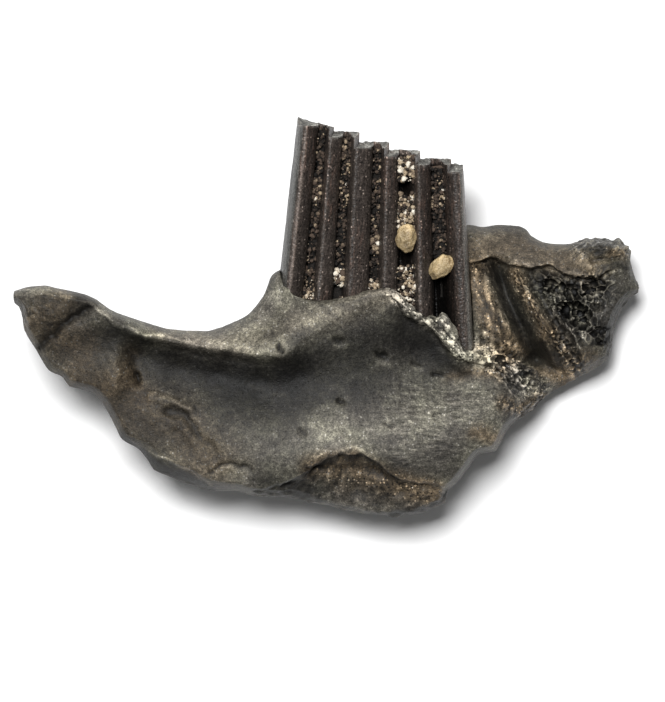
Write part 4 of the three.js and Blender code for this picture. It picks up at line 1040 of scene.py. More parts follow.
def mottle_group() -> bpy.types.NodeTree:
    """Cloudy light and dark patches of two sizes, with fine grit."""
    tree, n = new_group("mottle", {"Place": None, "Scale": 0.8, "Grit": 12.0}, ["Cloud", "Grit"])
    source = n.add("NodeGroupInput")
    sink = n.add("NodeGroupOutput")
    cloud = n.add("ShaderNodeTexNoise")
    cloud.inputs["Detail"].default_value = 5.0
    cloud.inputs["Roughness"].default_value = 0.6
    grit = n.add("ShaderNodeTexNoise")
    grit.inputs["Detail"].default_value = 2.0
    for node, scale in ((cloud, "Scale"), (grit, "Grit")):
        n.link(source.outputs["Place"], node.inputs["Vector"])
        n.link(source.outputs[scale], node.inputs["Scale"])
    n.link(n.ramp(cloud.outputs["Fac"], 0.3, 0.7), sink.inputs["Cloud"])
    n.link(n.ramp(grit.outputs["Fac"], 0.28, 0.72), sink.inputs["Grit"])
    return tree


def tone_group() -> bpy.types.NodeTree:
    """Lightens or darkens a colour by a number of stops: one up is twice as light."""
    tree, n = new_group("tone", {"Colour": Tint(90, 85, 78), "Stops": 0.0}, ["Toned Colour"])
    source = n.add("NodeGroupInput")
    sink = n.add("NodeGroupOutput")
    gain = n.maths("POWER", 2.0, n.maths("MINIMUM", source.outputs["Stops"], 3.6))
    n.link(n.mix(1.0, source.outputs["Colour"], gain, "MULTIPLY"), sink.inputs["Toned Colour"])
    return tree


class GroupShelf:
    """Makes each shared node group once and places it in materials."""

    makers = {Group.SPECKLE: speckle_group, Group.MOTTLE: mottle_group, Group.TONE: tone_group}
    made: dict[Group, bpy.types.NodeTree] = {}

    @classmethod
    def place(cls, nodes: Nodes, kind: Group, **values: object) -> bpy.types.Node:
        """Adds a group to a material.

        Args:
            nodes: the material's nodes.
            kind: which group.
            values: what its inputs get, with _ for a space in a name.

        Returns:
            The group node.
        """
        if kind not in cls.made:
            cls.made[kind] = cls.makers[kind]()
        node = nodes.add("ShaderNodeGroup", node_tree=cls.made[kind])
        for name, value in values.items():
            nodes.feed(node.inputs[name.replace("_", " ")], value)
        return node


@dataclass(frozen=True)
class Finish:
    """What every finish has: a name, and the numbers of its shader that are the same all over."""

    name: str
    roughness: float = 0.5
    specular: float = 0.5
    relief: float = 0.014  # height of the finest relief, in millimetres

    def start(self) -> tuple[bpy.types.Material, Nodes, bpy.types.Node]:
        """A new material with its nodes and its Principled shader."""
        material = bpy.data.materials.new(self.name)
        material.use_nodes = True
        nodes = Nodes(material.node_tree)
        shader = material.node_tree.nodes["Principled BSDF"]
        shader.inputs["Roughness"].default_value = self.roughness
        shader.inputs["Specular IOR Level"].default_value = self.specular
        return material, nodes, shader

    def bump(self, nodes: Nodes, shader: bpy.types.Node, height: object) -> None:
        """Gives the shader its finest relief."""
        node = nodes.add("ShaderNodeBump")
        node.inputs["Distance"].default_value = self.relief * MM
        nodes.feed(node.inputs["Height"], height)
        nodes.link(node.outputs["Normal"], shader.inputs["Normal"])


@dataclass(frozen=True)
class BoneFinish(Finish):
    """Dark mineralised bone: charcoal and olive grey, brown where it is broken, with painted highlights on
    its crests.
    """

    base: Tint = Tint(73, 71, 67)
    olive: Tint = Tint(71, 71, 63)
    brown: Tint = Tint(84, 73, 58)

    def make(self) -> bpy.types.Material:
        """Builds the material."""
        material, n, shader = self.start()
        place = n.place()
        mottle = GroupShelf.place(n, Group.MOTTLE, Place=place, Scale=0.5, Grit=6.5)
        colour = n.mix(mottle.outputs["Cloud"], self.base, self.olive)
        colour = n.mix(n.painted("warm"), colour, self.brown)
        fine = n.maths("MULTIPLY_ADD", n.noise(place, 15.0, 2.0, 0.8), 5.0, -2.5)
        stripes = n.maths("MULTIPLY_ADD", n.noise(n.place((0.22, 1.0, 1.0)), 7.5, 3.0, 0.6), 4.4, -2.2)
        patch = n.noise(place, 3.2, 5.0, 0.75)
        parts = (
            (mottle.outputs["Cloud"], 1.2, -0.6),
            (mottle.outputs["Grit"], 0.9, -0.45),
            (fine, 1.0, 0.0),
            (n.maths("MULTIPLY", stripes, n.painted("grain")), 1.0, 0.0),
            (patch, 4.6, -2.3),
        )
        tone = n.painted("tone")
        for value, share, start in parts:
            tone = n.maths("ADD", tone, n.maths("MULTIPLY_ADD", value, share, start))
        speckle = GroupShelf.place(n, Group.SPECKLE, Place=place, Scale=8.0, Share=0.18)
        tone = n.maths("MULTIPLY_ADD", speckle.outputs["Grains"], 1.1, tone)
        tone = n.maths("MULTIPLY_ADD", speckle.outputs["Pores"], -1.1, tone)
        crumbs = GroupShelf.place(n, Group.SPECKLE, Place=place, Scale=7.5, Share=0.5)
        crumb_pores = n.maths("MULTIPLY", crumbs.outputs["Pores"], 1.6)
        crumb_tone = n.maths("SUBTRACT", crumbs.outputs["Grains"], crumb_pores)
        tone = n.maths("MULTIPLY_ADD", crumb_tone, n.maths("MULTIPLY", n.painted("crumb"), 2.6), tone)
        colour = n.mix(speckle.outputs["Grains"], colour, self.base)
        toned = GroupShelf.place(n, Group.TONE, Colour=colour, Stops=tone)
        n.link(toned.outputs["Toned Colour"], shader.inputs["Base Color"])
        gloss = n.maths("MULTIPLY_ADD", n.painted("gloss"), -0.3, self.roughness)
        n.link(n.maths("MULTIPLY_ADD", mottle.outputs["Grit"], 0.12, gloss), shader.inputs["Roughness"])
        relief = n.maths("MULTIPLY_ADD", fine, 0.25, n.maths("MULTIPLY", stripes, n.painted("grain")))
        relief = n.maths("MULTIPLY_ADD", patch, 2.5, relief)
        self.bump(n, shader, n.maths("MULTIPLY_ADD", speckle.outputs["Pores"], -0.6, relief))
        return material


@dataclass(frozen=True)
class EnamelFinish(Finish):
    """Dark brown-black enamel with greyer faces, painted highlights on its edges and fine upright streaks."""

    base: Tint = Tint(56, 50, 46)
    grey: Tint = Tint(56, 55, 52)
    brown: Tint = Tint(63, 51, 45)

    def make(self) -> bpy.types.Material:
        """Builds the material."""
        material, n, shader = self.start()
        place = n.place()
        mottle = GroupShelf.place(n, Group.MOTTLE, Place=place, Scale=1.1, Grit=8.0)
        streaks = n.noise(n.place((1.0, 0.08, 1.0)), 9.0, 3.0)
        colour = n.mix(n.painted("grey"), self.base, self.grey)
        colour = n.mix(n.maths("MULTIPLY", n.ramp(streaks, 0.42, 0.7), n.painted("warm")), colour, self.brown)
        dirt = n.painted("dirt")
        speckle = GroupShelf.place(n, Group.SPECKLE, Place=place, Scale=7.5, Share=0.24)
        tone = n.painted("tone")
        tone = n.maths("ADD", tone, n.maths("MULTIPLY_ADD", streaks, 2.2, -1.1))
        tone = n.maths("ADD", tone, n.maths("MULTIPLY_ADD", mottle.outputs["Cloud"], 0.5, -0.25))
        tone = n.maths("ADD", tone, n.maths("MULTIPLY_ADD", n.noise(place, 13.0, 2.0, 0.75), 5.6, -2.8))
        tone = n.maths("ADD", tone, n.maths("MULTIPLY_ADD", mottle.outputs["Grit"], 0.6, -0.3))
        grains = n.maths("MULTIPLY", speckle.outputs["Grains"], n.maths("MULTIPLY_ADD", dirt, 2.4, 0.2))
        pores = n.maths("MULTIPLY", speckle.outputs["Pores"], n.maths("MULTIPLY_ADD", dirt, -2.0, -0.2))
        tone = n.maths("ADD", tone, n.maths("ADD", grains, pores))
        toned = GroupShelf.place(n, Group.TONE, Colour=colour, Stops=tone)
        n.link(toned.outputs["Toned Colour"], shader.inputs["Base Color"])
        rough_share = n.maths("MULTIPLY_ADD", n.painted("worn"), 0.35, self.roughness)
        n.link(n.maths("MULTIPLY_ADD", mottle.outputs["Grit"], 0.1, rough_share), shader.inputs["Roughness"])
        self.bump(n, shader, n.maths("MULTIPLY_ADD", streaks, 1.0, mottle.outputs["Grit"]))
        return material


@dataclass(frozen=True)
class SedimentFinish(Finish):
    """Sand and clay packed together: near-black matrix, brown and tan grains, a few cream ones."""

    dark: Tint = Tint(17, 15, 13)
    brown: Tint = Tint(82, 69, 59)
    tan: Tint = Tint(168, 150, 124)
    cream: Tint = Tint(232, 224, 208)

    def make(self) -> bpy.types.Material:
        """Builds the material."""
        material, n, shader = self.start()
        place = n.place()
        mottle = GroupShelf.place(n, Group.MOTTLE, Place=place, Scale=5.0, Grit=20.0)
        tone = n.maths("MULTIPLY_ADD", mottle.outputs["Grit"], 0.2, n.maths("ADD", n.painted("tone"), -0.1))
        colour = n.mix(n.ramp(tone, 0.05, 0.45), self.dark, self.brown)
        colour = n.mix(n.ramp(tone, 0.45, 0.75), colour, self.tan)
        colour = n.mix(n.ramp(tone, 0.8, 1.0), colour, self.cream)
        n.link(colour, shader.inputs["Base Color"])
        self.bump(n, shader, mottle.outputs["Grit"])
        return material


@dataclass(frozen=True)
class SandFinish(Finish):
    """One large tan quartz grain, with painted shade in its hollows."""

    base: Tint = Tint(168, 146, 106)
    shade: Tint = Tint(116, 94, 60)
    light: Tint = Tint(206, 188, 152)

    def make(self) -> bpy.types.Material:
        """Builds the material."""
        material, n, shader = self.start()
        place = n.place()
        mottle = GroupShelf.place(n, Group.MOTTLE, Place=place, Scale=2.2, Grit=14.0)
        colour = n.mix(mottle.outputs["Cloud"], self.shade, self.base)
        colour = n.mix(n.maths("MULTIPLY", mottle.outputs["Grit"], 0.5), colour, self.light)
        toned = GroupShelf.place(n, Group.TONE, Colour=colour, Stops=n.painted("tone"))
        n.link(toned.outputs["Toned Colour"], shader.inputs["Base Color"])
        self.bump(n, shader, mottle.outputs["Grit"])
        return material


# The bone


@dataclass
class JawBone:
    """The jaw bone: two lobes joined, the molar's socket cut out, and the fine relief of every region."""

    uneven: float = 0.012  # the heights of its relief, in millimetres
    gritty: float = 0.007
    torn: float = 0.09
    grained: float = 0.012
    hidden: float = 0.035
    rear: float = 0.045
    cell_depth: float = 0.26
    finish: BoneFinish = BoneFinish("mineralised_bone", roughness=0.5, specular=0.24)
    tone_marks: Sequence[Mark] = (
        # Broad regions, in stops: partly the bone's own tone, partly painted light on the strips that face
        # the lamp and painted shade in the bands under the crest and the molar's rim and in the groove along
        # the body.
        Mark([(-14.1, 1.25), (-13.25, 1.32), (-12.3, 1.2), (-11.9, 1.0)], 0.22, 1.6),
        Mark([(-13.5, 0.0), (-12.4, 0.3), (-11.6, 0.6)], 0.7, -0.95),
        Mark([(-12.6, -1.5), (-11.2, -1.4), (-11.0, -2.8)], 1.0, -0.95),
        Mark([(-10.4, 0.55), (-9.3, -0.1), (-7.6, -0.7), (-5.4, -0.95), (-3.4, -0.6),
              (-2.6, 0.9)], 0.5, 1.5),
        Mark([(-1.9, 0.9), (-1.4, -0.4), (0.2, 0.25), (2.4, 0.95)], 0.8, 1.0),
        Mark([(-9.8, -0.9), (-8.6, -1.6), (-6.8, -2.05), (-5, -2.45), (-3.1, -2.75),
              (-1.6, -2.75)], 0.85, -2.0),
        Mark([(-9.8, -0.5), (-9.0, -1.05), (-8.0, -1.5), (-7.0, -1.6)], 0.3, -0.8),
        Mark([(-1.6, -2.1), (0.2, -1.7), (1.9, -1.1), (3.3, -1.0), (4.8, -2.0)], 0.9, -1.6),
        Mark([(3.0, -0.5), (4.2, -1.2), (5.2, -1.9)], 0.45, -1.0),
        Mark([(-4.6, -3.7), (-2.4, -3.9), (-0.2, -3.4), (1.6, -2.9)], 1.2, -1.8),
        Mark([(-9.4, -4.0), (-7.4, -5.0)], 1.3, -0.8),
        Mark([(0.2, -4.9), (2.4, -5.1), (4.7, -4.7), (7.0, -3.9)], 1.5, 1.25),
        Mark([(-3.9, -6.2), (-1.9, -5.9), (0.0, -5.4)], 1.1, 0.7),
        Mark([(-2.9, -7.7), (-1.75, -7.95), (-0.37, -8.1)], 0.5, -1.3),
        Mark([(-0.6, -7.2), (0.8, -7.4), (2.2, -7.9)], 0.5, -0.5),
        Mark([(3.4, -7.9), (4.8, -8.2)], 0.5, 0.5),
        Mark([(2.39, -9.05), (3.54, -9.15), (4.69, -8.85), (5.4, -8.25)], 0.2, -1.6),
        Mark([(6.8, 3.3), (8.8, 3.2), (10.6, 2.7), (12.0, 2.3)], 0.8, 0.7),
        # The lines of the front end and of the crest: a light line on the front end's top edge, painted
        # highlights along the crest, and painted shade in the creases and in the band below the crest.
        Mark([(-14.2, 1.0), (-13.2, 1.05), (-12.5, 0.95)], 0.07, 0.8),
        Mark([(-13.25, -1.43), (-12.24, -0.6), (-11.5, 0.14), (-10.86, 0.5)], 0.14, -1.6),
        Mark([(-10.9, 0.6), (-10.2, 0.15), (-9.6, -0.42), (-8.65, -0.78), (-7.5, -0.95),
              (-6.4, -1.05)], 0.08, 1.5),
        Mark([(-9.0, -0.72), (-8.2, -0.85), (-7.4, -0.98)], 0.16, 0.9),
        Mark([(-6.4, -1.15), (-5.6, -1.3), (-4.4, -1.4), (-3.2, -1.62), (-1.9, -1.6)], 0.3, 1.8),
        Mark([(-9.7, -1.5), (-9.5, -2.4), (-9.6, -3.2)], 0.22, 0.25),
        Mark([(-8.8, -2.3), (-6.8, -2.7), (-5.0, -3.0), (-3.4, -3.3)], 0.6, -0.9),
        Mark([(-9.05, -1.9), (-8.9, -2.4), (-8.7, -2.8)], 0.22, -0.6),
        Mark([(-8.84, -2.72), (-8.72, -2.98)], 0.1, -1.6),
        # The scar with its painted lit ridges and painted shadows, the painted highlight on the edge above
        # the bevel, the bevel's painted shade, and the chip.
        Mark([(-8.1, -3.54), (-7.18, -3.86), (-6.4, -4.15)], 0.1, 1.2),
        Mark([(-8.15, -3.35), (-7.2, -3.45)], 0.14, 0.8),
        Mark([(-6.3, -4.2), (-6.0, -4.8), (-5.8, -5.15)], 0.09, 1.2),
        Mark([(-7.45, -4.3), (-6.6, -4.38), (-6.3, -4.6)], 0.15, -1.2),
        Mark([(-6.1, -5.2), (-5.85, -5.5)], 0.16, -1.3),
        Mark([(-5.5, -5.9), (-5.1, -6.3)], 0.35, -0.7),
        Mark([(-9.2, -5.6), (-8.5, -6.0), (-7.9, -6.35), (-7.27, -6.67), (-6.35, -7.08),
              (-5.66, -7.55), (-5.15, -7.9)], 0.08, 1.6),
        Mark([(-7.0, -6.3), (-6.2, -6.8), (-5.5, -7.2)], 0.3, 0.5),
        Mark([(-9.4, -5.6), (-8.7, -6.1), (-8.0, -6.75), (-7.3, -7.08), (-6.3, -7.5),
              (-5.3, -7.95)], 0.24, -2.6),
        Mark([(-5.38, -7.1), (-4.88, -6.74), (-4.19, -6.69), (-3.59, -7.0)], 0.07, -1.2),
        Mark([(-4.88, -7.13), (-4.28, -7.04), (-3.82, -7.41)], 0.25, 0.7),
        # The wall under the molar: its upward-facing band with painted light, its light lip and the painted
        # black shade under it.
        Mark([(-1.5, -0.35), (-0.3, 0.0), (0.9, 0.2)], 0.22, 0.5),
        Mark([(0.6, 0.75), (1.9, 1.1), (2.85, 1.28)], 0.1, 0.8),
        Mark([(2.94, 1.1), (3.6, 0.6), (4.4, -0.05), (5.1, -0.3), (5.7, -1.0), (6.3, -1.75),
              (7.1, -1.95), (7.8, -1.95)], 0.5, 2.2),
        Mark([(5.2, 0.1), (5.6, -0.6)], 0.3, 0.8),
        Mark([(3.0, 0.3), (3.9, -0.35), (4.7, -1.1), (5.4, -1.95), (6.3, -2.5)], 0.3, -1.5),
        # Pits with painted shade in them, and the spots beside them that catch light, painted as highlights.
        Mark([(-2.25, -1.36), (-2.15, -1.5)], 0.11, -3.2),
        Mark([(-2.15, -0.85), (-2.0, -1.2)], 0.13, 0.9),
        Mark([(0.25, -1.3), (0.65, -1.35)], 0.14, 1.7),
        Mark([(0.3, -1.0), (0.55, -1.08)], 0.1, -0.8),
        Mark([(2.35, -1.72), (2.65, -1.74)], 0.12, -1.2),
        Mark([(2.35, -2.1), (2.85, -2.2)], 0.11, 1.8),
        Mark([(3.95, -2.32), (4.2, -2.35)], 0.11, 1.8),
        Mark([(4.8, -2.6), (5.2, -2.62)], 0.12, -0.9),
        Mark([(4.95, -2.82), (5.25, -2.85)], 0.09, 0.9),
        Mark([(0.2, -3.22), (0.65, -3.28)], 0.12, 0.9),
        Mark([(0.52, -3.9), (0.68, -3.96)], 0.1, -1.3),
        Mark([(2.65, -4.92), (2.85, -4.92)], 0.09, -0.9),
        Mark([(4.9, -4.58), (5.2, -4.45)], 0.07, -0.9),
        Mark([(-1.25, -5.25), (-1.05, -5.35)], 0.08, -0.9),
        Mark([(-0.9, -4.8), (-0.75, -4.95)], 0.1, 0.6),
        Mark([(-5.4, -3.2), (-4.9, -3.35)], 0.13, 1.0),
        Mark([(-3.55, -3.2), (-3.0, -3.3)], 0.1, 2.0),
        Mark([(-2.5, -3.45), (-2.0, -3.55)], 0.1, 2.2),
        # The hollow in the broken lower edge, with a painted highlight on its rim and painted shade inside
        # it.
        Mark([(-0.6, -6.5), (0.2, -6.2), (0.9, -6.02), (1.6, -6.08)], 0.08, 1.4),
        Mark([(-0.9, -7.0), (0.09, -6.66), (1.01, -6.5), (2.02, -6.8), (2.9, -7.3)], 0.3, -1.1),
        Mark([(2.7, -6.5), (3.7, -6.9)], 0.3, -0.7),
        # The rear: shelf, sockets, ridges and spongy bone, with painted highlights on the shelf's lip and the
        # ridges, and painted shade under the lip, in the troughs and in the grooves.
        Mark([(7.22, 2.78), (8.83, 2.5), (10.21, 2.42)], 0.14, 0.8),
        Mark([(9.9, 2.35), (11.0, 1.95), (12.2, 1.95)], 0.14, 0.6),
        Mark([(9.8, 2.25), (11.1, 1.6), (12.4, 1.66)], 0.1, -1.2),
        Mark([(12.5, 2.3), (13.4, 2.4), (13.9, 2.3)], 0.1, -1.8),
        Mark([(11.9, 3.1), (13.1, 3.3)], 0.35, -1.0),
        Mark([(12.9, 3.0), (13.5, 3.0)], 0.22, 0.9),
        Mark([(6.9, 2.3), (7.25, 1.0), (7.8, -0.14), (8.4, -1.0)], 0.55, 0.1),
        Mark([(7.6, 2.4), (8.0, 1.8)], 0.25, -1.6),
        Mark([(8.1, 2.1), (8.4, 1.0), (8.9, -0.1), (9.6, -1.2), (10.6, -1.95)], 0.34, -1.4),
        Mark([(8.65, 2.1), (8.95, 1.2), (9.55, 0.3), (10.2, -0.6), (10.9, -1.6)], 0.5, 0.45),
        Mark([(9.45, 2.0), (9.98, 1.1), (10.5, 0.1), (11.0, -0.5)], 0.2, -0.9),
        Mark([(9.84, 1.24), (10.3, 0.35), (10.8, -0.3), (11.4, -0.7), (12.0, -1.0)], 0.07, 1.5),
        Mark([(10.3, -0.97), (10.8, -1.61), (11.32, -2.4)], 0.5, 0.8),
        Mark([(9.6, -2.7), (10.4, -2.8), (10.9, -2.7)], 0.45, 1.1),
        Mark([(7.3, -2.4), (8.14, -3.08), (8.75, -3.8)], 0.05, 2.0),
        Mark([(8.0, -2.2), (8.6, -2.35), (8.92, -2.99), (9.29, -3.4)], 0.35, 2.7),
        Mark([(8.2, -2.6), (9.3, -2.7)], 0.4, -0.5),
        Mark([(8.14, -4.3), (8.83, -4.5), (9.75, -3.9)], 0.32, -0.4),
        Mark([(6.7, -1.5), (7.4, -1.6), (8.3, -1.9)], 0.4, 1.1),
        Mark([(12.3, -0.6), (13.1, -0.5)], 0.08, -2.4),
        Mark([(12.7, 0.6), (13.4, 0.5), (12.8, -1.0)], 0.8, -0.5),
        Mark([(12.3, -1.15), (13.1, -1.05)], 0.08, -2.2),
    )  # fmt: skip
    warm_marks: Sequence[Mark] = (
        Mark([(-13.94, -0.37), (-13.02, 0.32), (-12.0, 0.6)], 0.7, 0.5),
        Mark([(-12.33, -1.06), (-11.18, -1.52), (-11.41, -2.9), (-10.2, -3.0)], 1.0, 0.6),
        Mark([(-9.11, -1.61), (-9.02, -2.71), (-8.6, -3.6)], 0.5, 0.5),
        Mark([(-9.0, -4.4), (-7.0, -4.9), (-5.5, -6.5)], 1.3, 0.5),
        Mark([(-7.5, -0.9), (-4.0, -1.3), (-1.8, -0.4), (0.5, 0.2), (2.5, 0.9)], 0.8, 0.12),
        Mark([(0.5, -7.6), (2.8, -8.0), (4.8, -8.3)], 0.6, 0.3),
        Mark([(-0.74, -6.95), (1.01, -6.7), (2.62, -7.4), (4.92, -8.1)], 0.5, 0.9),
        Mark([(5.61, -2.71), (6.76, -2.58), (7.91, -2.62)], 0.3, 0.5),
        Mark([(6.76, -5.29), (7.45, -5.47), (8.05, -5.57)], 0.35, 0.6),
        Mark([(6.72, 2.16), (7.0, 1.01), (7.5, -0.14), (8.6, -1.52)], 0.6, 0.9),
        Mark([(7.0, -1.6), (8.0, -1.9)], 0.4, 0.2),
        Mark([(8.65, 2.07), (8.92, 1.24), (9.52, 0.32), (10.12, -0.6)], 0.35, 0.7),
        Mark([(10.3, -0.97), (10.76, -1.61), (11.32, -2.53), (12.0, -1.9)], 0.6, 0.6),
        Mark([(9.75, -2.44), (10.67, -2.7), (11.13, -2.9)], 0.4, 0.5),
        Mark([(6.76, 3.2), (8.83, 3.2), (10.67, 2.6), (12.2, 2.3)], 0.8, 0.5),
        Mark([(8.14, -3.91), (8.83, -4.37), (9.75, -3.82)], 0.4, 0.6),
        Mark([(13.11, 2.99), (13.52, 2.9)], 0.3, 0.6),
    )  # fmt: skip
    crumb_marks: Sequence[Mark] = (
        Mark([(7.2, -1.7), (7.68, -2.07), (8.6, -2.35), (9.29, -2.9), (9.6, -3.4)], 0.65, 1.2),
        Mark([(8.14, -3.91), (8.83, -4.37), (9.75, -3.82)], 0.4, 1.0),
        Mark([(2.94, 1.2), (3.6, 0.6), (4.4, 0.0), (5.1, -0.2), (5.7, -0.9), (6.3, -1.65)], 0.45, 1.0),
        Mark([(6.81, -1.29), (7.0, -0.7), (7.45, -1.29), (8.37, -1.61)], 0.4, 1.0),
        Mark([(11.7, 3.1), (12.97, 3.2), (13.8, 3.1)], 0.5, 1.1),
        Mark([(11.2, 1.6), (12.2, 1.6), (13.4, 2.0)], 0.35, 0.7),
        Mark([(8.65, 2.2), (8.92, 1.24), (9.52, 0.32), (10.12, -0.6), (10.8, -1.5)], 0.3, 0.35),
        Mark([(6.6, 2.3), (6.8, 1.6)], 0.3, 0.4),
        Mark([(10.3, 0.9), (11.0, 0.3), (11.5, -0.6)], 0.5, 0.8),
        Mark([(12.0, 0.9), (12.6, 0.4)], 0.5, 0.5),
        Mark([(-14.0, 0.0), (-13.0, 0.3), (-12.6, -0.4)], 0.5, 0.4),
        Mark([(-0.4, 0.9), (0.4, 0.9), (2.5, 1.4)], 0.12, 0.4),
        Mark([(0.3, -7.4), (2.6, -7.9), (4.6, -8.2)], 0.5, 0.45),
    )  # fmt: skip
    speck_marks: Sequence[Mark] = (
        Mark([(7.2, 2.0), (7.7, 0.5), (8.5, -1.1)], 0.85, 1.0),
        Mark([(8.7, 2.0), (9.4, 0.6), (10.3, -0.9), (11.1, -2.3)], 0.65, 1.0),
        Mark([(-0.5, -7.2), (2.4, -7.5), (4.6, -8.2)], 0.7, 0.8),
        Mark([(3.4, 0.8), (5.0, -0.3), (6.3, -1.7), (8.2, -2.0)], 0.5, 0.6),
        Mark([(12.6, 0.9), (13.4, 0.4), (12.8, -1.0)], 0.6, 0.6),
    )  # fmt: skip
    spongy_marks: Sequence[Mark] = (
        Mark([(10.1, 1.5), (11.3, 1.1), (12.5, 1.35)], 0.55, 1.1),
        Mark([(10.9, 0.4), (11.6, 0.1), (11.9, -0.5)], 0.55, 1.0),
        Mark([(12.3, -0.6), (12.8, -1.1)], 0.3, 0.4),
        Mark([(10.5, -0.9), (11.1, -1.6), (11.5, -2.3)], 0.4, 0.6),
        Mark([(8.75, 1.9), (9.0, 1.1), (9.6, 0.2)], 0.22, 0.45),
        Mark([(8.0, -2.2), (9.0, -2.9)], 0.55, 0.75),
    )  # fmt: skip

    def build(self) -> bpy.types.Object:
        """Builds and dresses the bone.

        Returns:
            The finished piece.
        """
        bone = tube("bone", body_lobe().rings())
        combine(bone, tube("rear", rear_lobe().rings()), "UNION")
        grown = [(a + SOCKET_GAP * np.sign(a), b + SOCKET_GAP * np.sign(b)) for a, b in SOCKET_SECTION]
        socket = column("socket", rounded(grown, 0.25, 1), np.linspace(TOOTH_ROOT_Y - 0.1, 11, 40))
        combine(bone, socket, "DIFFERENCE")
        self.dress(bone)
        complete(bone, self.finish.make())
        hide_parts("jaw_bone")
        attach(bone, "root")
        return bone

    def dress(self, bone: bpy.types.Object) -> None:
        """Raises the fine relief and paints what the material reads."""
        places, normals = corners_of(bone)
        x, y, z = places.T
        inner = smooth((normals[:, 2] + 0.35) / 0.4) * smooth((z - 1.2) / 1.2)
        toned = smooth((normals[:, 2] + 0.8) / 0.4) * smooth((z - 1.2) / 1.2)
        drawn = wander(x, y)
        tone = np.clip(total_of(self.tone_marks)(*drawn), -3.5, 3.0) * toned
        warm = np.clip(1.2 * total_of(self.warm_marks)(*drawn), 0, 1) * inner
        crumb = np.clip(total_of(self.crumb_marks)(*drawn), 0, 1) * inner
        speck = np.clip(total_of(self.speck_marks)(*drawn), 0, 1) * inner
        spongy = np.clip(total_of(self.spongy_marks)(x, y), 0, 1) * inner
        relief = self.uneven * rough(places * 1.6, 3, 11) + self.gritty * rough(places * 6, 2, 12)
        broken = smooth((break_y(x) - y) / 0.15) * smooth((x + 4.4) / 1.5) * smooth((5.8 - x) / 0.5) * inner
        relief += broken * self.torn * rough(places * np.array([1.6, 2.6, 2.6]), 4, 21)
        grain = inner * smooth((x - 1.0) / 3.0) * smooth((y + 7.4) / 1.0) * smooth((-2.4 - y) / 1.2)
        relief += grain * self.grained * noise(places * np.array([0.8, 6.0, 2.0]), 31)
        near_socket = smooth((x + 2.4) / 0.4) * smooth((7.2 - x) / 0.4) * smooth((y + 1.8) / 0.4)
        relief += self.hidden * (1 - inner) * (1 - near_socket) * rough(places * 2.6, 3, 24)
        relief += self.rear * smooth((x - 11.6) / 0.8) * rough(places * 3.0, 3, 23)
        first, _, own = nearest_seeds(places * 3.8, 41)
        relief += crumb * ((0.5 - first) * 0.17 + 0.06 * rough(places * 5, 2, 43))
        cell, next_cell, _ = nearest_seeds(places * np.array([2.9, 2.9, 1.2]), 47)
        hole = smooth((next_cell - cell - 0.04) / 0.16)
        relief -= spongy * self.cell_depth * hole
        fibre = self.fibres(places, x, y) * inner
        relief += fibre
        places = places + normals * relief[:, None]
        places[:, 2] = np.maximum(places[:, 2], 0.0)
        move_corners(bone, places)
        places, normals = corners_of(bone)
        proud = relative_height(bone, places, normals, 6)
        # The raised places painted lighter and the hollows painted darker, as painted highlight and painted
        # shade; each crumb gets a random tone of its own.
        tone += np.clip(proud * 16.0, -1.1, 0.9) + crumb * (own - 0.45) * 3.6
        tone += broken * 1.0 * rough(places * 4.4, 3, 22)
        # The spongy bone's cells painted near black as painted shade, with lighter walls, and the fine
        # strands painted lighter where raised and darker where sunk, as painted light and shade.
        tone += spongy * lerp(1.1, -4.6, hole) + np.clip(fibre * 24, -1.6, 1.0)
        tone -= lerp(0.7, 0.45, inner)
        paint(bone, "tone", tone)
        paint(bone, "warm", np.clip(warm + 0.15, 0, 1))
        paint(bone, "crumb", np.clip(crumb + speck, 0, 1))
        paint(bone, "grain", np.clip(grain + 0.12, 0, 1))
        paint(bone, "gloss", crumb * (own > 0.6))

    @staticmethod
    def fibres(places: np.ndarray, x: np.ndarray, y: np.ndarray) -> np.ndarray:
        """The height of the fine strands in the sockets, on the fan of bone behind and on the torn plate."""
        lining = Mark([(7.0, 2.2), (7.3, 1.0), (7.8, -0.14), (8.5, -1.3)], 0.65, 1.0).at(x, y)
        slanted = np.stack([x * 0.9 + y * 0.42, (y * 0.9 - x * 0.42) * 0.25, places[:, 2]], axis=1)
        height = lining * 0.06 * rough(slanted * 6.0, 3, 51)
        across = np.stack([x * 0.89 + y * 0.45, (y * 0.89 - x * 0.45) * 0.14, 0 * x], axis=1)
        fan = Mark([(10.4, -1.1), (11.0, -1.7), (11.5, -2.4)], 0.5, 1.0).at(x, y)
        height += fan * 0.11 * noise(across * 10, 52)
        septum = Mark([(8.9, 1.24), (9.6, 0.2), (10.6, -1.2)], 0.3, 1.0).at(x, y)
        height += septum * 0.07 * rough(slanted * 5.0, 2, 53)
        torn = [(3.2, 1.0), (4.2, 0.3), (5.1, -0.1), (5.7, -0.9), (6.3, -1.7), (7.6, -1.9)]
        plate = Mark(torn, 0.45, 1.0).at(x, y)
        height += plate * 0.07 * noise(np.stack([(x + y) * 7, (x - y) * 1.6, places[:, 2]], axis=1), 54)
        return height


# The molar


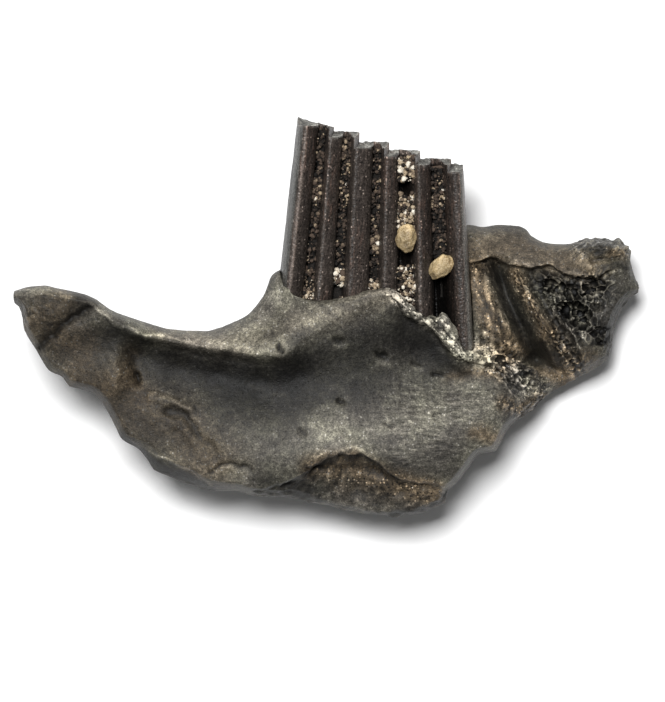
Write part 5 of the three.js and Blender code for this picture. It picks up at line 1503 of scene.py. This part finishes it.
@dataclass
class Molar:
    """The first molar: six prisms with folds between them, worn in steps."""

    spacing: float = 0.075  # between the points of its cross-section
    rings: int = 84
    enamel: float = 0.13  # thickness of the enamel's rim on the chewing face
    hollow: float = 0.07  # depth of the softer core below that rim
    finish: EnamelFinish = EnamelFinish("dark_enamel", roughness=0.36, specular=0.32)

    def build(self) -> bpy.types.Object:
        """Builds and dresses the molar.

        Returns:
            The finished piece.
        """
        section = rounded(MOLAR_SECTION, self.spacing)
        molar = column("molar", section, np.linspace(TOOTH_ROOT_Y, CROWN_OVER, self.rings))
        combine(molar, self.wear_cutter(section), "DIFFERENCE")
        self.dress(molar, section)
        complete(molar, self.finish.make())
        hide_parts("first_molar")
        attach(molar, "root")
        return molar

    def wear_cutter(self, section: np.ndarray) -> bpy.types.Object:
        """The space above the worn chewing face, as a solid to cut with."""
        steps, rows = 26, 70
        along, tops, owners = [], [], []
        for prism in PRISMS:
            for i in range(steps + 1):
                along.append(lerp(prism.start, prism.end, i / steps))
                owners.append(prism)
        across = np.linspace(2.0, -2.0, rows + 1)
        skewed = np.array(along)[:, None] + STEP_SKEW * (1.3 - across)[None, :]
        for i, prism in enumerate(owners):
            tops.append(prism.wear(skewed[i], across))
        tops = np.array(tops)
        wide = np.broadcast_to(across, skewed.shape)
        inside = distance_to_path(skewed.ravel(), wide.ravel(), np.concatenate([section, section[:1]]))
        depth = self.hollow * smooth((inside.reshape(skewed.shape) - self.enamel * 0.5) / self.enamel)
        grit = 0.02 * rough(np.stack([skewed.ravel() * 5, wide.ravel() * 5, 0 * wide.ravel()], axis=1), 3, 61)
        surface = molar_places(skewed, wide, tops - depth + grit.reshape(skewed.shape))
        bm = bmesh.new()
        bmesh.ops.create_grid(bm, x_segments=len(along) - 1, y_segments=rows, size=1)
        for vertex in bm.verts:
            i = round((vertex.co.x + 1) / 2 * (len(along) - 1))
            j = round((vertex.co.y + 1) / 2 * rows)
            vertex.co = surface[i, j]
        made = bmesh.ops.extrude_face_region(bm, geom=list(bm.faces))
        for vertex in (item for item in made["geom"] if isinstance(item, bmesh.types.BMVert)):
            vertex.co.y = CUTTER_TOP
        bmesh.ops.recalc_face_normals(bm, faces=bm.faces)
        return make_object("wear_cutter", bm)

    def dress(self, molar: bpy.types.Object, section: np.ndarray) -> None:
        """Adds the enamel's fine upright relief and paints what the material reads."""
        places, normals = corners_of(molar)
        x, y, z = places.T
        down = (TOOTH_TOP_Y - y) / CROWN_HEIGHT
        along = (x - TOOTH_X + CROWN_DRIFT * down) / (CROWN_SCALE + CROWN_FLARE * down)
        across = (z - TOOTH_TOP_Z + CROWN_LEAN * down) / (1 + CROWN_SWELL * down)
        on_face = smooth((normals[:, 1] - 0.5) / 0.3)
        side = 1 - on_face
        upright = places * np.array([6.0, 0.5, 6.0])
        relief = side * (0.012 * rough(upright, 3, 71) + 0.006 * rough(places * 5, 2, 72))
        relief += side * 0.008 * noise(places * np.array([0.5, 3.2, 0.5]), 73)
        move_corners(molar, places + normals * relief[:, None])
        places, normals = corners_of(molar)
        proud = relative_height(molar, places, normals, 4)
        crest = side * smooth((proud - 0.019) / 0.014) * smooth((across - 1.0) / 0.3)
        sunk = side * smooth((0.9 - across) / 0.8) * (across > -0.4)
        middles = [(fold.face[0] + fold.mouth[0]) / 2 for fold in INNER_FOLDS]
        bare = smooth((y - np.interp(along, middles, [prism.top for prism in PRISMS[:5]]) + 0.06) / 0.1)
        front_face = side * smooth((-3.66 - along) / 0.06)
        front_line = side * np.exp(-(((along + 3.55) / 0.07) ** 2)) * (across > 0.5)
        rear_face = side * smooth((along - 3.3) / 0.12) * (across > 0)
        worn_rim = smooth((proud - 0.008) / 0.03) * smooth((y - 6.2) / 0.3)
        streaky = 0.5 + 0.5 * noise(places * np.array([3.0, 0.5, 3.0]), 75)
        # Painted highlights along the prisms' crests, and painted shade deep in the folds that turns lighter
        # near the chewing face.
        tone = 2.4 * crest * streaky - 2.8 * sunk * (1 - bare) + 1.4 * sunk * bare
        tone += 1.9 * on_face + 1.3 * worn_rim * on_face
        tone += on_face * (1.3 * rough(places * 3.2, 3, 76) - 0.15)
        # The front face lightened a little as painted light, with a painted highlight line along it; the rear
        # face lighter.
        tone += 0.3 * front_face + 2.0 * front_line + 1.3 * rear_face
        tone -= 0.5 * side * smooth((along - 1.6) / 0.2) * (along < 3.2)
        # Painted shade low in the last inner fold, below its sediment, and on the face behind the front edge.
        last_fold = smooth((along - 2.0) / 0.1) * smooth((3.0 - along) / 0.1)
        tone -= 1.2 * side * last_fold * smooth((2.6 - y) / 0.5)
        tone -= 0.5 * side * smooth((along + 3.4) / 0.1) * smooth((-2.9 - along) / 0.2)
        paint(molar, "tone", tone)
        paint(molar, "grey", np.clip(front_face + rear_face + on_face + 0.25 * crest, 0, 1))
        paint(molar, "worn", on_face)
        paint(molar, "dirt", np.clip(side * (1 - front_face - front_line - 0.8 * rear_face), 0, 1))
        patches = smooth(0.3 + noise(places * np.array([0.7, 0.35, 0.7]), 74) * 1.5)
        paint(molar, "warm", np.clip(patches * side * (1 - front_face - crest), 0, 1))


# The sediment and the sand grains


@dataclass(frozen=True)
class Crumbs:
    """A patch of loose grains in a fold, between two heights."""

    low: float
    high: float
    count: int
    lightness: float
    size: float = 0.055
    surface: float = 0.62


@dataclass(frozen=True)
class Plug:
    """The sediment of one fold: the CAD node it stands for, and its patches of grains."""

    node: str
    fold: int
    low: float
    high: float
    patches: Sequence[Crumbs]
    seed: int
    side: int = 1
    level: float = 0.42


PLUGS = [
    Plug("sediment_inner_1", 0, 0.4, 8.7, (
        Crumbs(2.0, 8.7, 350, 0.28), Crumbs(0.9, 2.2, 90, 0.42), Crumbs(5.2, 6.4, 60, 0.5),
        Crumbs(0.4, 1.3, 110, 0.6, 0.075, 0.8)), 1),
    Plug("sediment_inner_2", 1, 0.4, 8.2, (
        Crumbs(1.4, 8.2, 340, 0.24), Crumbs(5.0, 6.3, 60, 0.5), Crumbs(6.6, 7.9, 60, 0.45),
        Crumbs(1.5, 2.2, 60, 0.75, 0.09, 0.85), Crumbs(0.5, 0.9, 40, 0.3)), 2),
    Plug("sediment_inner_3", 2, 0.5, 7.72, (
        Crumbs(1.2, 7.72, 320, 0.24), Crumbs(3.0, 4.0, 40, 0.5, 0.08), Crumbs(5.4, 6.3, 50, 0.45),
        Crumbs(1.2, 1.7, 60, 0.6, 0.07, 0.8)), 3),
    Plug("sediment_inner_4_upper", 3, 6.3, 7.34, (Crumbs(6.2, 7.4, 180, 0.66, 0.075, 0.95),), 4, 1, 0.6),
    Plug("sediment_inner_4_middle", 3, 4.2, 5.5, (Crumbs(4.1, 5.7, 190, 0.64, 0.07, 0.95),), 5, 1, 0.6),
    Plug("sediment_inner_4_lower", 3, -0.4, 2.2, (
        Crumbs(0.5, 2.4, 240, 0.62, 0.065, 0.95), Crumbs(-0.4, 0.8, 90, 0.4)), 6, 1, 0.6),
    Plug("sediment_inner_5", 4, 2.7, 6.95, (Crumbs(2.9, 6.95, 260, 0.26), Crumbs(5.0, 5.9, 40, 0.55)), 7),
    *[
        Plug(f"sediment_outer_{5 - i}", i, 0.9, prism.top,
             (Crumbs(0.9, prism.top, 160, 0.3, 0.07, 0.7),), 10 + i, -1)
        for i, prism in enumerate(reversed(PRISMS[1:]))
    ],
]  # fmt: skip


@dataclass
class FoldFill:
    """Sediment packed in one fold: a rough dark core with loose grains on it."""

    plug: Plug
    finish: bpy.types.Material

    def build(self) -> bpy.types.Object:
        """Builds the plug.

        Returns:
            The finished piece.
        """
        plug = self.plug
        fold = (INNER_FOLDS if plug.side > 0 else OUTER_FOLDS)[plug.fold]
        left, right = sorted((fold.face[0], fold.mouth[0] if plug.side > 0 else fold.wall[0]))
        random = np.random.default_rng(plug.seed)
        count = max(6, int((plug.high - plug.low) / 0.07))
        heights = np.linspace(plug.low, plug.high, count)
        floor = fold.bottom[2] + 0.04 * plug.side
        around = self.core_section(left, right, floor, plug.level * plug.side)
        rings = molar_places(around[None, :, 0], around[None, :, 1], heights[:, None])
        core = tube(plug.node.replace("sediment", "fill"), rings)
        places, normals = corners_of(core)
        relief = 0.09 * rough(places * 3.2, 3, plug.seed)
        move_corners(core, places + normals * np.clip(relief, -0.1, 0.14)[:, None])
        bm = bmesh.new()
        bm.from_mesh(core.data)
        tone = bm.verts.layers.float.new("tone")
        for vertex in bm.verts:
            vertex[tone] = 0.4 if vertex.co.y > plug.high - 0.08 else 0.06
        for patch in plug.patches:
            self.scatter(bm, tone, patch, left, right, random)
        bm.to_mesh(core.data)
        bm.free()
        complete(core, self.finish)
        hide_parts(plug.node)
        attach(core, "root")
        return core

    @staticmethod
    def core_section(left: float, right: float, floor: float, level: float) -> np.ndarray:
        """The core's cross-section: a flat floor and a rounded outer side."""
        share = np.linspace(0, 1, 12)
        across = level - (level - floor) * 0.25 * (2 * share - 1) ** 2
        outer = np.stack([lerp(left - 0.02, right + 0.02, share), across], axis=1)
        inner = np.array([[right, floor], [lerp(left, right, 0.5), floor], [left, floor]])
        return np.concatenate([outer, inner])

    def scatter(
        self,
        bm: bmesh.types.BMesh,
        tone: bmesh.types.BMLayerItem,
        patch: Crumbs,
        left: float,
        right: float,
        random: np.random.Generator,
    ) -> None:
        """Adds one patch of grains.

        Args:
            bm: the plug's bmesh.
            tone: its layer of grain colours.
            patch: what is scattered.
            left: the fold's front wall.
            right: its rear wall.
            random: the plug's own random numbers.
        """
        side = self.plug.side
        for _ in range(patch.count):
            size = patch.size * random.uniform(0.4, 1.7)
            along = random.uniform(left - 0.04, right + 0.07)
            across = side * (self.plug.level + (patch.surface - self.plug.level) * random.uniform(0.2, 1.0))
            share = random.beta(1.4, 1.4) if patch.lightness > 0.6 else random.uniform()
            y = lerp(patch.low, patch.high, share)
            place = molar_places(np.array(along), np.array(across), np.array(y))
            turn = Matrix.Rotation(random.uniform(0, 6.28), 4, Vector(random.normal(size=3)))
            shape = Matrix.Diagonal((*(size * random.uniform(0.7, 1.3, 3)), 1.0))
            matrix = Matrix.Translation(Vector(place)) @ turn @ shape
            fineness = 2 if size > 0.07 else 1
            made = bmesh.ops.create_icosphere(bm, subdivisions=fineness, radius=1.0, matrix=matrix)
            shade = patch.lightness * random.uniform(0.1, 1.5) + (0.45 if random.uniform() > 0.9 else 0.0)
            for vertex in made["verts"]:
                vertex[tone] = shade
                vertex.co += Vector(random.normal(scale=0.12 * size, size=3))


@dataclass
class SandGrain:
    """A large rounded grain lodged in a fold."""

    node: str
    centre: tuple[float, float, float]
    size: tuple[float, float, float]
    turn: float
    seed: int
    finish: bpy.types.Material

    def build(self) -> bpy.types.Object:
        """Builds the grain.

        Returns:
            The finished piece.
        """
        bm = bmesh.new()
        bmesh.ops.create_icosphere(bm, subdivisions=6, radius=0.5)
        grain = make_object(self.node.replace("sand_grain", "grain"), bm)
        places, normals = corners_of(grain)
        facets = nearest_seeds(places * 2.2 + self.seed, self.seed)[0]
        relief = 0.15 * (facets - 0.5) + 0.05 * rough(places * 3, 2, self.seed)
        relief += 0.008 * rough(places * 12, 2, 5)
        places = places + normals * relief[:, None]
        move_corners(grain, places)
        shape = Matrix.Rotation(self.turn, 4, "Z") @ Matrix.Diagonal((*self.size, 1))
        grain.data.transform(Matrix.Translation(self.centre) @ shape)
        # Painted shade in the grain's hollows; the grain is also lighter towards its +Y end.
        paint(grain, "tone", np.clip(relief * 7 + 0.8 * places[:, 1], -1.2, 0.8))
        complete(grain, self.finish)
        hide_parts(self.node)
        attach(grain, "root")
        return grain


# The studio


@dataclass
class Studio:
    """A pale floor, soft light from the upper left and the camera straight above."""

    floor_size: float = 1.2
    floor_colour: Tint = Tint(245, 245, 245)
    key_power: float = 2.7
    fill: float = 0.15

    def build(self) -> None:
        """Builds the floor, the lights and the camera."""
        self.floor()
        self.lamp("key", Vector((-0.045, 0.1, 0.43)), 0.12, self.key_power)
        self.world()
        self.camera()
        bpy.context.scene.view_settings.view_transform = "Standard"

    def floor(self) -> None:
        """The floor, which isn't part of the object."""
        bm = bmesh.new()
        bmesh.ops.create_grid(bm, x_segments=1, y_segments=1, size=self.floor_size)
        floor = make_object("floor", bm)
        material = bpy.data.materials.new("pale_floor")
        material.use_nodes = True
        shader = material.node_tree.nodes["Principled BSDF"]
        shader.inputs["Base Color"].default_value = self.floor_colour.linear()
        shader.inputs["Roughness"].default_value = 0.9
        shader.inputs["Specular IOR Level"].default_value = 0.1
        floor.data.materials.append(material)

    @staticmethod
    def lamp(name: str, place: Vector, size: float, power: float) -> None:
        """A square soft lamp that faces the jaw.

        Args:
            name: the lamp's name.
            place: where it stands.
            size: its side.
            power: its power in watts.
        """
        light = bpy.data.lights.new(name, "AREA")
        light.size = size
        light.energy = power
        lamp = bpy.data.objects.new(name, light)
        lamp.location = place
        lamp.rotation_mode = "QUATERNION"
        lamp.rotation_quaternion = (Vector((0, 0, 0.004)) - place).to_track_quat("-Z", "Y")
        bpy.context.scene.collection.objects.link(lamp)

    def world(self) -> None:
        """The even light of the room."""
        world = bpy.data.worlds.new("room")
        world.use_nodes = True
        background = world.node_tree.nodes["Background"]
        background.inputs["Color"].default_value = (1, 1, 1, 1)
        background.inputs["Strength"].default_value = self.fill
        bpy.context.scene.world = world

    @staticmethod
    def camera() -> None:
        """The camera, straight above, with the photograph's frame."""
        data = bpy.data.cameras.new("camera")
        data.lens = LENS
        data.sensor_width = SENSOR
        distance = LENS / SENSOR * max(PHOTO_WIDTH, PHOTO_HEIGHT) * PIXEL * MM
        data.clip_start = 0.01
        data.clip_end = 10.0
        camera = bpy.data.objects.new("camera", data)
        camera.location = (PHOTO_CENTRE[0] * MM, PHOTO_CENTRE[1] * MM, distance + FOCUS_HEIGHT * MM)
        bpy.context.scene.collection.objects.link(camera)
        bpy.context.scene.camera = camera


def main() -> None:
    """Builds the jaw piece by piece, and the studio round it."""
    logging.basicConfig(level=logging.INFO, format="%(name)s: %(message)s")
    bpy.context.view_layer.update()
    Studio().build()
    sediment = SedimentFinish("packed_sediment", roughness=0.85, specular=0.3, relief=0.015).make()
    sand = SandFinish("sand_grain", roughness=0.42, relief=0.02).make()
    makers = [
        JawBone(),
        Molar(),
        *[FoldFill(plug, sediment) for plug in PLUGS],
        SandGrain("sand_grain_upper", (3.62, 3.62, 6.5), (0.95, 1.25, 0.9), -0.15, 1, sand),
        SandGrain("sand_grain_lower", (5.2, 2.3, 6.25), (0.9, 1.25, 0.9), -0.6, 4, sand),
    ]
    for maker in makers:
        piece = maker.build()
        log.info("%s: %d faces, %d vertices", piece.name, len(piece.data.polygons), len(piece.data.vertices))


if __name__ == "__main__":
    main()
